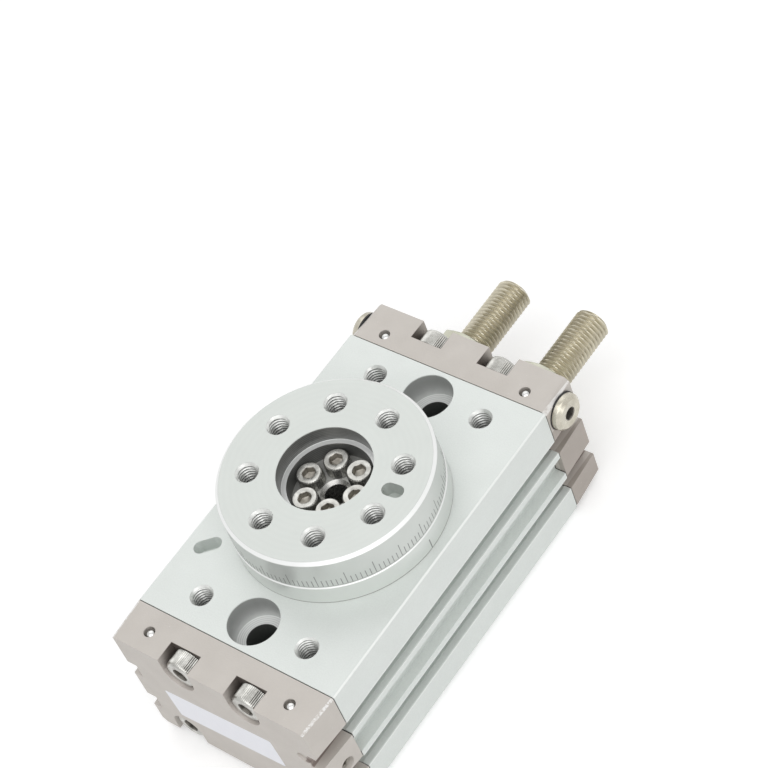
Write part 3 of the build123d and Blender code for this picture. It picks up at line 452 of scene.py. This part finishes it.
nickel = finish("screw_nickel", 0.3, 0.92,
                plated((0.63, 0.625, 0.595), (0.40, 0.395, 0.37), 0.20, 0.38))
socket_deep = finish("socket_shaded", 0.4, 0.6,
                     plated((0.22, 0.205, 0.18), (0.10, 0.095, 0.085), 0.30, 0.5))
# sockets of the table screws, bolts and set screws are darker from oil and from painted shade
socket_dark = finish("socket_oiled_and_shaded", 0.4, 0.75,
                     plated((0.50, 0.48, 0.43), (0.28, 0.26, 0.23), 0.30, 0.5))
polished = finish("steel_polished", 0.12, 1.0,
                  plated((0.70, 0.70, 0.69), (0.56, 0.56, 0.55), 0.08, 0.20, 0.6, 0.001))
# painted shade makes the thread valleys of the bolts a little darker
olive = finish("bolt_olive_zinc", 0.3, 0.85,
               plated((0.70, 0.655, 0.525), (0.54, 0.50, 0.39), 0.24, 0.42, valley=0.82))
nut_film = finish("nut_zinc", 0.32, 0.85,
                  plated((0.50, 0.50, 0.42), (0.415, 0.415, 0.34), 0.26, 0.42))
plug_film = finish("plug_plated", 0.28, 0.9,
                   plated((0.62, 0.59, 0.505), (0.48, 0.45, 0.375), 0.18, 0.32))
washer_film = finish("washer_plated", 0.34, 0.85,
                     plated((0.56, 0.55, 0.50), (0.46, 0.45, 0.405), 0.28, 0.45))
ground = finish("shaft_ground", 0.3, 0.95,
                plated((0.58, 0.575, 0.56), (0.44, 0.435, 0.42), 0.20, 0.36))
blackened = finish("steel_blackened", 0.42, 0.8,
                   plated((0.10, 0.10, 0.10), (0.05, 0.05, 0.05), 0.34, 0.5))
# painted shade darkens the thread valleys of the tapped sleeves almost to black
bare = finish("thread_bare_aluminium", 0.35, 0.6,
              plated((0.86, 0.87, 0.85), (0.66, 0.67, 0.65), 0.26, 0.40, valley=0.05))
print("metals ready")


# %% [markdown]
# Seals and gaskets are black rubber, and the wear rings and magnets are moulded. They
# are dull, so a fine noise in roughness and height is all that they need.


# %% Rubber and moulded pieces
def dull(light, dark, grain=0.25, depth=0.01):
    """Recipe of a matt moulded surface between two colours."""

    def recipe(place):
        cloud = noise(place, 1.6, 3.0)
        fine = noise(place, grain, 3.0, 0.6)
        return {
            "Base Color": cloud.tint(dark, light),
            "Roughness": 0.5 + 0.3 * fine,
            "Normal": bump(fine, depth),
        }

    return recipe


rubber = finish("seal_rubber", 0.6, 0.0, dull((0.030, 0.029, 0.028), (0.012, 0.012, 0.012)))
brown_band = finish("wear_plastic", 0.5, 0.0, dull((0.22, 0.13, 0.07), (0.15, 0.085, 0.045)))
black_magnet = finish("magnet_moulded", 0.5, 0.0, dull((0.07, 0.07, 0.075), (0.03, 0.03, 0.03)))
mark_ink = finish("scale_ink", 0.5, 0.0, dull((0.34, 0.35, 0.34), (0.22, 0.225, 0.22)))
plate_blank = finish("plate_blank", 0.3, 0.0,
                     dull((0.90, 0.91, 0.965), (0.86, 0.87, 0.925), 0.5, 0.003), coat=0.3)
print("dull finishes ready")

# %% [markdown]
# ## Dressing the CAD solids
# The CAD solids keep their shape. Each gets its finish here, by the material slot that
# the record gives it, so a new solid is never left plain.

# %% Finishes by slot
by_slot = {
    "block_anodised": block_finish, "cover_cast": cover_finish, "gasket_rubber": rubber,
    "screw_steel": nickel, "bright_steel": polished, "plug_plated": plug_film,
    "dark_steel": blackened, "turned_aluminium": turned_finish, "shaft_steel": ground,
    "piston_steel": ground, "seal_rubber": rubber, "wear_plastic": brown_band,
    "magnet_black": black_magnet, "bolt_plated": olive, "washer_steel": washer_film,
    "nut_plated": nut_film,
}
slot_of = {part["node"]: part["material_slot"] for part in frame["record"]["subparts"]}
for node, shown in frame["nodes"].items():
    shown.data.materials.clear()
    shown.data.materials.append(by_slot[slot_of[node]])
print("dressed", len(slot_of), "solids")

# %% [markdown]
# A real edge is never perfectly sharp. It is broken by a file or rounded by blasting,
# and that fine round is the bright line that makes metal look like metal. Weld joins
# the triangles of the CAD mesh, a planar Decimate gives back its flat faces, and a
# Bevel limited by angle rounds what is left of sharp edges.


# %% Broken edges
def break_edges(node, width, angle=38.0, steps=2):
    """Rounds the sharp edges of a CAD solid by width millimetres, without touching its mesh."""
    shown = frame["nodes"][node]
    join = shown.modifiers.new("join", "WELD")
    join.merge_threshold = 2e-6
    flat = shown.modifiers.new("flat_faces", "DECIMATE")
    flat.decimate_type, flat.angle_limit = "DISSOLVE", math.radians(0.6)
    edge = shown.modifiers.new("edge", "BEVEL")
    edge.width, edge.segments = width * MM, steps
    edge.limit_method, edge.angle_limit = "ANGLE", math.radians(angle)
    edge.use_clamp_overlap = True


for node, width in (("main_body", 0.10), ("front_cover", 0.22), ("rear_cover", 0.16)):
    break_edges(node, width)
print("edges broken")

# %% [markdown]
# ## Turned and threaded pieces
# Screws, nuts, plugs, threads and balls are all one idea: a profile of radius and
# height, carried once round an axis. The radius may also change with the angle, which
# gives hexagons and knurls, and with the height at the same time, which gives a thread.


# %% Surfaces on a grid
def shell(points, look, inner=None, inner_from=0, loop=False, valley=None):
    """Vertices, faces, finishes and thread depths of a grid of points: rows along the
    profile, columns round the axis. The last column joins the first. With loop the last
    row joins the first too, and otherwise each end row closes on its middle point. Rows
    from inner_from on take the finish inner."""
    rows, columns = points.shape[:2]
    index = np.arange(rows * columns).reshape(rows, columns)
    under, above = (index, np.roll(index, -1, 0)) if loop else (index[:-1], index[1:])
    quads = np.stack([under, np.roll(under, -1, 1), np.roll(above, -1, 1), above], -1)
    finishes = np.repeat(np.arange(len(under)) >= (inner_from if inner else 10 ** 6), columns)
    faces, corners = quads.reshape(-1, 4).tolist(), points.reshape(-1, 3)
    if not loop:
        low = np.stack([np.full(columns, rows * columns), np.roll(index[0], -1), index[0]], -1)
        high = np.stack([np.full(columns, rows * columns + 1), index[-1],
                         np.roll(index[-1], -1)], -1)
        faces += low.tolist() + high.tolist()
        corners = np.concatenate([corners, [points[0].mean(0), points[-1].mean(0)]])
        finishes = np.concatenate([finishes, np.zeros(columns, bool),
                                   np.full(columns, inner is not None)])
    deep = np.zeros(len(corners))
    if valley is not None:
        deep[:rows * columns] = valley.reshape(-1)
    return corners, faces, [inner if f else look for f in finishes], deep


def turned(profile, around=96, ripples=40):
    """Grid of a turned piece. A row of profile is radius, height, hexagon and knurl, in
    millimetres and in shares: r = radius * (1 + hexagon * (1/cos(side angle) - 1))
    * (1 - knurl * ripple(angle)), where the side angle is counted from a flat's middle."""
    profile = np.array([(list(row) + [0, 0])[:4] for row in profile], float)
    angle = np.arange(around) * 2 * np.pi / around
    side = (angle + np.pi / 6) % (np.pi / 3) - np.pi / 6
    hexagon = 1 + profile[:, 2:3] * (1 / np.cos(side) - 1)
    knurl = 1 - profile[:, 3:4] * (0.5 + 0.5 * np.cos(ripples * angle))
    radius = profile[:, :1] * hexagon * knurl
    rise = np.repeat(profile[:, 1:2], around, 1)
    return np.stack([radius * np.cos(angle), radius * np.sin(angle), rise], -1)


FRAMES = {
    "+z": [[1, 0, 0], [0, 1, 0], [0, 0, 1]], "-z": [[1, 0, 0], [0, -1, 0], [0, 0, -1]],
    "+y": [[-1, 0, 0], [0, 0, 1], [0, 1, 0]], "-y": [[1, 0, 0], [0, 0, 1], [0, -1, 0]],
    "+x": [[0, 1, 0], [0, 0, 1], [1, 0, 0]], "-x": [[0, -1, 0], [0, 0, 1], [-1, 0, 0]],
}


def stood(points, origin, along="+z", turn=0.0):
    """Points turned about their own axis, laid along an axis of the model, and moved."""
    c, s = math.cos(turn), math.sin(turn)
    points = points @ np.array([[c, s, 0], [-s, c, 0], [0, 0, 1.0]])
    return points @ np.array(FRAMES[along], float) + np.asarray(origin, float)


def piece(name, shells, body, stands_for=(), smooth=32.0):
    """Object from shells in millimetres, which rides on a body and stands for CAD nodes."""
    used, corners, faces, finishes, depths, count = [], [], [], [], [], 0
    for points, quads, looks, deep in shells:
        corners.append(points)
        depths.append(deep)
        faces += [[i + count for i in face] for face in quads]
        used += [look for look in dict.fromkeys(looks) if look not in used]
        finishes += [used.index(look) for look in looks]
        count += len(points)
    mesh = bpy.data.meshes.new(name)
    mesh.from_pydata((np.concatenate(corners) * MM).tolist(), [], faces)
    for look in used:
        mesh.materials.append(look)
    mesh.polygons.foreach_set("material_index", finishes)
    if max(deep.max() for deep in depths) > 0:
        mark = mesh.attributes.new("valley", "FLOAT", "POINT")
        mark.data.foreach_set("value", np.concatenate(depths).astype(np.float32))
    mesh.shade_smooth()
    mesh.set_sharp_from_angle(angle=math.radians(smooth))
    made = bpy.data.objects.new(name, mesh)
    bpy.context.scene.collection.objects.link(made)
    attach(made, body)
    if stands_for:
        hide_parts(*stands_for)
    print(name, len(faces), "faces")
    return made


# %% [markdown]
# A socket head screw is a shank, a head with a knurled side for the fingers, a fine
# chamfer, and a hexagon socket with a cone at its bottom. The profile runs from the tip
# up the outside, over the head and down into the socket. From the mouth of the socket
# on it takes a darker finish, because oil and shade collect there.


# %% Cap screws
def cap_screw(thread, length, head, tall, socket, ripples=54):
    """Profile of a cap screw that stands on height 0, and the row where its socket starts."""
    r, t, s = head / 2, thread / 2 - 0.02, socket / 2
    deep = tall * 0.5
    rows = [(t - 0.5, -length), (t, -length + 0.5), (t, 0), (r * 0.93, 0), (r, 0.2),
            (r, 0.45, 0, 0.04), (r, tall - 0.75, 0, 0.04), (r * 0.985, tall - 0.45, 0, 0.01),
            (r * 0.955, tall - 0.2), (r * 0.88, tall), (s * 1.22, tall),
            (s * 1.14, tall - 0.03, 0.2), (s * 1.02, tall - 0.16, 0.95), (s, tall - 0.22, 1),
            (s, tall - deep, 1), (s * 0.3, tall - deep - 0.3, 1)]
    return turned(rows, 4 * ripples, ripples), 11


def middle_of(low, high):
    """Middle of a range, in millimetres."""
    return (low + high) / 2 / MM


# x, z and turn of the cover screws, the same in both covers
SCREW_SEATS = [(-8.45, 30.2, 0.3), (8.45, 30.2, 0.1), (-16.2, 4.8, 0.5), (16.2, 4.8, 0.8)]
HEAD_TALL = 4.0
for node, along, side in (("front_cover_screws", "-y", -1), ("rear_cover_screws", "+y", 1)):
    low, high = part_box(node)
    head_foot = (low.y if side < 0 else high.y) / MM - side * HEAD_TALL
    length = (high.y - low.y) / MM - HEAD_TALL
    points, mouth = cap_screw(4.0, length, 7.0, HEAD_TALL, 3.0)
    shells = [shell(stood(points, (x, head_foot, z), along, turn), nickel, socket_deep, mouth)
              for x, z, turn in SCREW_SEATS]
    piece(node.replace("screws", "cap_screws"), shells, "housing", [node])

# %% [markdown]
# Six smaller screws hold the table on its shaft. They turn with the table, and their
# circle is a little off the pattern of the eight holes round them.

# %% Screws of the table
SCREW_CIRCLE = 6.0  # radius
SCREW_TURN = -7.5  # degrees from the table's own pattern
floor_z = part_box("table_screws")[1].z / MM - 3.0
points, mouth = cap_screw(3.0, 8.0, 5.5, 3.0, 2.5, 32)
shells = []
for number in range(6):
    angle = math.radians(TABLE_TURN + SCREW_TURN + 60 * number)
    origin = (SCREW_CIRCLE * math.cos(angle), SCREW_CIRCLE * math.sin(angle), floor_z)
    shells.append(shell(stood(points, origin, "+z", angle + 0.35 * number), nickel,
                        socket_dark, mouth))
piece("table_cap_screws", shells, "rotor", ["table_screws"])


# %% [markdown]
# ## Threads
# A thread is a helix, so its radius depends on the angle and the height together:
# r = middle + half depth * triangle(height / pitch - angle / turn). The bolts carry it
# on the outside. A tapped hole gets a thin sleeve with the thread on the inside, whose
# mouth opens into a small countersink.


# %% Thread surfaces
def ramped(x):
    """Triangle wave from -1 to 1 with period 1, with its peaks slightly flattened."""
    return np.clip(2.3 * (2 * np.abs(2 * (x - np.floor(x + 0.5))) - 1) / 2, -1, 1)


def helix_rows(low, high, pitch, around, per_turn=8):
    """Grids of angle and height for a thread between two heights."""
    rise = np.linspace(low, high, int((high - low) / pitch * per_turn) + 1)[:, None]
    angle = (np.arange(around) * 2 * np.pi / around)[None, :]
    return angle + 0 * rise, rise + 0 * angle


def tapped_sleeve(outer, inner, pitch, top, depth, mouth=0.45, around=36):
    """Thin tube in a tapped hole: thread inside, plain wall outside, countersunk mouth.
    Returns its grid, and how deep in the thread each point lies, from 0 to 1."""
    angle, rise = helix_rows(top - depth, top - mouth, pitch, around)
    wave = 0.5 + 0.5 * ramped(rise / pitch - angle / (2 * np.pi))
    radius = inner + (outer - 0.06 - inner) * wave
    thread = np.stack([radius * np.cos(angle), radius * np.sin(angle), rise], -1)
    rim = turned([(outer - 0.005, top - depth), (outer - 0.005, top)], around)
    cone = turned([(outer - 0.01, top), (inner + 0.05, top - mouth)], around)
    return np.concatenate([rim, cone, thread[::-1]]), np.concatenate(
        [np.zeros((4, around)), wave[::-1]])


def threaded_rod(radius, depth, pitch, low, high, socket, hollow, around=48):
    """Bolt with its thread on the outside, chamfered ends, and a socket in its top.
    Returns its grid, the thread depth of each point, and the row where the socket starts."""
    angle, rise = helix_rows(low + 0.02, high - 0.02, pitch, around)
    wave = 0.5 + 0.5 * ramped(rise / pitch - angle / (2 * np.pi))
    crest = radius - depth * wave
    ends = radius - depth - 0.15 + 1.6 * np.minimum(rise - low, high - rise)
    crest = np.minimum(crest, ends)
    thread = np.stack([crest * np.cos(angle), crest * np.sin(angle), rise], -1)
    s = socket / 2
    rows = [(s * 1.28, high), (s * 1.16, high - 0.08), (s, high - 0.4, 1),
            (s, high - hollow, 1), (s * 0.3, high - hollow - 0.5, 1)]
    foot = turned([(radius - depth - 0.6, low)], around)
    deep = np.concatenate([np.zeros((1, around)), wave, np.zeros((len(rows), around))])
    return np.concatenate([foot, thread, turned(rows, around)]), deep, len(thread) + 2


print("thread helpers ready")

# %% [markdown]
# The eight tapped holes of the table stand on one circle, and the four in the block
# stand near its corners. The rear cover has two tapped air ports, and the mounting holes
# are tapped from below as well.

# %% Tapped holes
M5, M8 = (2.5, 2.08, 0.8), (4.0, 3.42, 1.25)  # outer radius, inner radius, pitch
THREAD_CIRCLE = 16.0  # radius of the table's eight threads


def sleeves(name, thread, top, depth, seats, along, body, mouth=0.45):
    """Piece of equal sleeves. A seat is the place of a hole and the turn of its thread."""
    grid, deep = tapped_sleeve(*thread, top, depth, mouth)
    shells = [shell(stood(grid, origin, along, turn), bare, loop=True, valley=deep)
              for origin, turn in seats]
    piece(name, shells, body, smooth=24)


table_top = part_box("table")[1].z / MM
block_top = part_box("main_body")[1].z / MM
rear_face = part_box("rear_cover")[1].y / MM
angles = [math.radians(TABLE_TURN + 22.5 + 45 * number) for number in range(8)]
seats = [((THREAD_CIRCLE * math.cos(a), THREAD_CIRCLE * math.sin(a), 0), a) for a in angles]
sleeves("table_thread_sleeves", M5, table_top - 0.02, 6.9, seats, "+z", "rotor")
seats = [((x, y, 0), x + y) for x in (-13.5, 13.5) for y in (-MOUNT_Y, MOUNT_Y)]
sleeves("block_thread_sleeves", M5, block_top - 0.02, 7.9, seats, "+z", "housing")
seats = [((x, 0, 29.4), x) for x in (-PASSAGE_X, PASSAGE_X)]
sleeves("port_thread_sleeves", M5, rear_face - 0.02, 4.3, seats, "+y", "housing")
seats = [((0, y, 0), y) for y in (-MOUNT_Y, MOUNT_Y)]
sleeves("base_thread_sleeves", M8, -0.02, 11.8, seats, "-z", "housing", 0.6)

# %% [markdown]
# ## Stop bolts
# Each piston meets the end of a long bolt, which is turned to set the angle at which
# the table stops. A nut locks it against a sealing washer. The nut is a hexagonal prism
# cut by a cone at both faces, which leaves the curved edges of its corners.


# %% Nuts
def lock_nut(flats, bore, tall, around=120):
    """Closed ring: hexagon outside, cut by a cone at both faces, and a bevelled bore.
    Outside radius = the smaller of the hexagon's and the cone's at each height."""
    rise = np.array([0, 0.12, 0.3, 0.6, 1.0, tall - 1.0, tall - 0.6, tall - 0.3,
                     tall - 0.12, tall])[:, None]
    angle = (np.arange(around) * 2 * np.pi / around)[None, :]
    side = (angle + np.pi / 6) % (np.pi / 3) - np.pi / 6
    prism = flats / 2 / np.cos(side) + 0 * rise
    cone = flats / 2 * 0.965 + 1.75 * np.minimum(rise, tall - rise) + 0 * angle
    radius = np.minimum(prism, cone)
    wall = np.stack([radius * np.cos(angle), radius * np.sin(angle), rise + 0 * angle], -1)
    bore_rows = turned([(bore + 0.45, tall), (bore, tall - 0.4), (bore, 0.4), (bore + 0.45, 0)],
                       around)
    return np.concatenate([wall, bore_rows])


for name, x, turn in (("left", -PISTON_X, 0.4), ("right", PISTON_X, 1.1)):
    low, high = (corner.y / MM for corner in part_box(f"{name}_adjusting_bolt"))
    rod, deep, mouth = threaded_rod(3.98, 0.55, 1.0, low, high, 4.0, 4.5)
    rod = stood(rod, (x, 0, PISTON_Z), "+y", turn)
    piece(f"{name}_threaded_bolt", [shell(rod, olive, socket_dark, mouth, valley=deep)],
          f"{name}_bolt", [f"{name}_adjusting_bolt"], smooth=24)
    low, high = (corner.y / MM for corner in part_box(f"{name}_lock_nut"))
    nut = stood(lock_nut(13.0, 4.02, high - low), (x, low, PISTON_Z), "+y", np.pi / 6)
    piece(f"{name}_hexagon_nut", [shell(nut, nut_film, loop=True)],
          f"{name}_nut", [f"{name}_lock_nut"], smooth=28)
    low, high = (corner.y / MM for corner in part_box(f"{name}_seal_washer"))
    thick = high - low
    disc = turned([(4.2, 0), (6.5, 0), (6.7, 0.2), (6.7, thick - 0.2), (6.5, thick),
                   (5.4, thick), (5.3, thick - 0.1), (5.0, thick - 0.1), (4.9, thick),
                   (4.2, thick)], 96)
    disc = stood(disc, (x, low, PISTON_Z), "+y")
    piece(f"{name}_sealing_washer", [shell(disc, washer_film, loop=True)],
          f"{name}_washer_carrier", [f"{name}_seal_washer"])

# %% [markdown]
# ## Plugs, balls and set screws
# Air reaches the pistons through drilled passages. Each drilling leaves an opening that
# has to be closed. The two side ports take flat plugs, which are turned, plated, and
# seal on a rubber ring under the head.

# %% Plugs of the side ports
for name, along, side in (("left", "-x", -1), ("right", "+x", 1)):
    low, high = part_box(f"{name}_port_plug")
    y, z = middle_of(low.y, high.y), middle_of(low.z, high.z)
    face = (low.x if side < 0 else high.x) / MM
    rows = [(1.9, -6.1), (2.45, -5.6), (2.45, -2.2), (3.5, -2.2), (3.5, -2.05), (4.0, -2.05),
            (4.0, -0.85), (3.9, -0.62), (3.2, 0.0), (1.62, 0.0), (1.5, -0.07),
            (1.28, -0.2, 0.9), (1.25, -0.3, 1), (1.25, -1.6, 1), (0.4, -1.9, 1)]
    ring = turned([(3.4, 0.02), (4.12, 0.02), (4.12, 0.42), (3.9, 0.5), (3.4, 0.5)], 72)
    shells = [shell(stood(turned(rows, 96), (face, y, z), along, 0.5), plug_film,
                    socket_deep, 10),
              shell(stood(ring, (face - side * 2.2, y, z), along), rubber, loop=True)]
    piece(f"{name}_flat_plug", shells, "housing", [f"{name}_port_plug"])


# %% [markdown]
# The upright drillings are closed with pressed steel balls, and the edge of the hole is
# staked over each ball. So the opening is narrower than the ball, and a thin collar with
# the finish of the cover stands for the staked edge.


# %% Pressed balls
def ball(radius, around=48, rows=25):
    """Sphere: radius * sin and cos of the angle from the pole, without the poles."""
    polar = np.linspace(np.pi, 0, rows + 2)[1:-1]
    profile = np.stack([radius * np.sin(polar), radius * np.cos(polar)], -1)
    return turned(profile.tolist(), around)


for node in ("front_seal_balls", "rear_seal_balls"):
    low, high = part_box(node)
    y, z = middle_of(low.y, high.y), middle_of(low.z, high.z)
    rim = block_top - 0.01
    collar = turned([(1.24, rim - 0.25), (1.62, rim - 0.25), (1.62, rim), (1.24, rim)], 48)
    shells = []
    for x in (-PASSAGE_X, PASSAGE_X):
        shells.append(shell(stood(ball(1.5), (x, y, z - 0.15)), polished))
        shells.append(shell(stood(collar, (x, y, 0)), cover_finish, loop=True))
    piece(node.replace("seal", "pressed"), shells, "housing", [node])

# %% [markdown]
# The cross drilling of the front cover ends in both sides, each with a small set screw.
# It has no head, so it sinks into its hole and only its socket shows.

# %% Set screws of the cross drilling
low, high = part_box("front_set_screws")
y, z = middle_of(low.y, high.y), middle_of(low.z, high.z)
rows = [(1.2, -3.0), (1.66, -2.6), (1.66, -0.25), (1.45, 0.0), (0.98, 0.0),
        (0.87, -0.12, 0.9), (0.85, -0.2, 1), (0.85, -1.5, 1), (0.3, -1.7, 1)]
shells = [shell(stood(turned(rows, 72), (face / MM, y, z), along, 0.2), nickel, socket_dark, 4)
          for face, along in ((high.x, "+x"), (low.x, "-x"))]
piece("set_screws", shells, "housing", ["front_set_screws"])

# %% [markdown]
# ## Scale on the rim
# The rim of the table carries a scale with a short line every 2.5 degrees and a long
# one every 15, and the ring below has one index line. The lines are filled engraving, so
# each is a strip of a few hundredths of a millimetre that follows the rim.


# %% Scale lines
def rim_lines(radius, angles, low, highs, width, proud=0.012):
    """Shell of thin boxes on a cylinder. A box's eight corners are two angles, two
    heights and two radii, all worked out as one array."""
    half = width / 2 / radius
    corner = np.array([(a, h, r) for r in (-0.03, proud) for h in (0, 1) for a in (-1, 1)])
    angle = angles[:, None] + corner[None, :, 0] * half
    rise = np.where(corner[None, :, 1] > 0, highs[:, None], low)
    out = radius + corner[None, :, 2] + 0 * angle
    points = np.stack([out * np.cos(angle), out * np.sin(angle), rise], -1)
    box = np.array([(4, 5, 7, 6), (1, 0, 2, 3), (0, 4, 6, 2), (5, 1, 3, 7), (6, 7, 3, 2),
                    (0, 1, 5, 4)])
    faces = (box[None] + 8 * np.arange(len(angles))[:, None, None]).reshape(-1, 4)
    corners = points.reshape(-1, 3)
    return corners, faces.tolist(), [mark_ink] * len(faces), np.zeros(len(corners))


SCALE_START, SCALE_STEP = -76.6, 2.5  # degrees
steps = np.arange(144)
angles = np.radians(SCALE_START + SCALE_STEP * steps)
tops = np.where(steps % 6 == 0, 42.9, 41.3)
piece("table_scale", [rim_lines(22.5, angles, 39.42, tops, 0.17)], "rotor")
piece("index_line", [rim_lines(22.65, np.radians([0.0]), 34.2, np.array([36.8]), 0.25)],
      "housing")

# %% [markdown]
# ## Blank plate
# The front cover carries a thin plain plate: a rectangle of pale satin film with round
# corners, set a few degrees off level as it was stuck on by hand.


# %% Plate on the front cover
def rounded_plate(width, tall, corner, tilt, middle, face, thick):
    """Plate whose outline is a rectangle with round corners, as rings that shrink to
    the middle: outline = corner centres + corner radius * (cos, sin)."""
    quarter = np.linspace(0, np.pi / 2, 9)
    angle = np.concatenate([quarter + k * np.pi / 2 for k in range(4)])
    signs = np.repeat([(1, 1), (-1, 1), (-1, -1), (1, -1)], 9, axis=0)
    core = signs * np.array([width / 2 - corner, tall / 2 - corner])
    rows = []
    for grow, rise in ((0, 0), (0, thick * 0.6), (-0.04, thick), (-0.5, thick)):
        radius = max(corner + grow, 0.05)
        flat = core + radius * np.stack([np.cos(angle), np.sin(angle)], -1)
        rows.append(np.concatenate([flat, np.full((len(flat), 1), rise)], 1))
    c, s = math.cos(tilt), math.sin(tilt)
    points = np.stack(rows) @ np.array([[c, s, 0], [-s, c, 0], [0, 0, 1.0]])
    x, z = middle
    return stood(points, (x, face, z), "-y")


front_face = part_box("front_cover")[0].y / MM
plate = rounded_plate(width=28.6, tall=9.2, corner=0.5, tilt=math.radians(4.5),
                      middle=(-2.05, 16.0), face=front_face + 0.02, thick=0.05)
piece("blank_plate", [shell(plate, plate_blank)], "housing")

# %% Colour view
bpy.context.scene.view_settings.view_transform = "Standard"
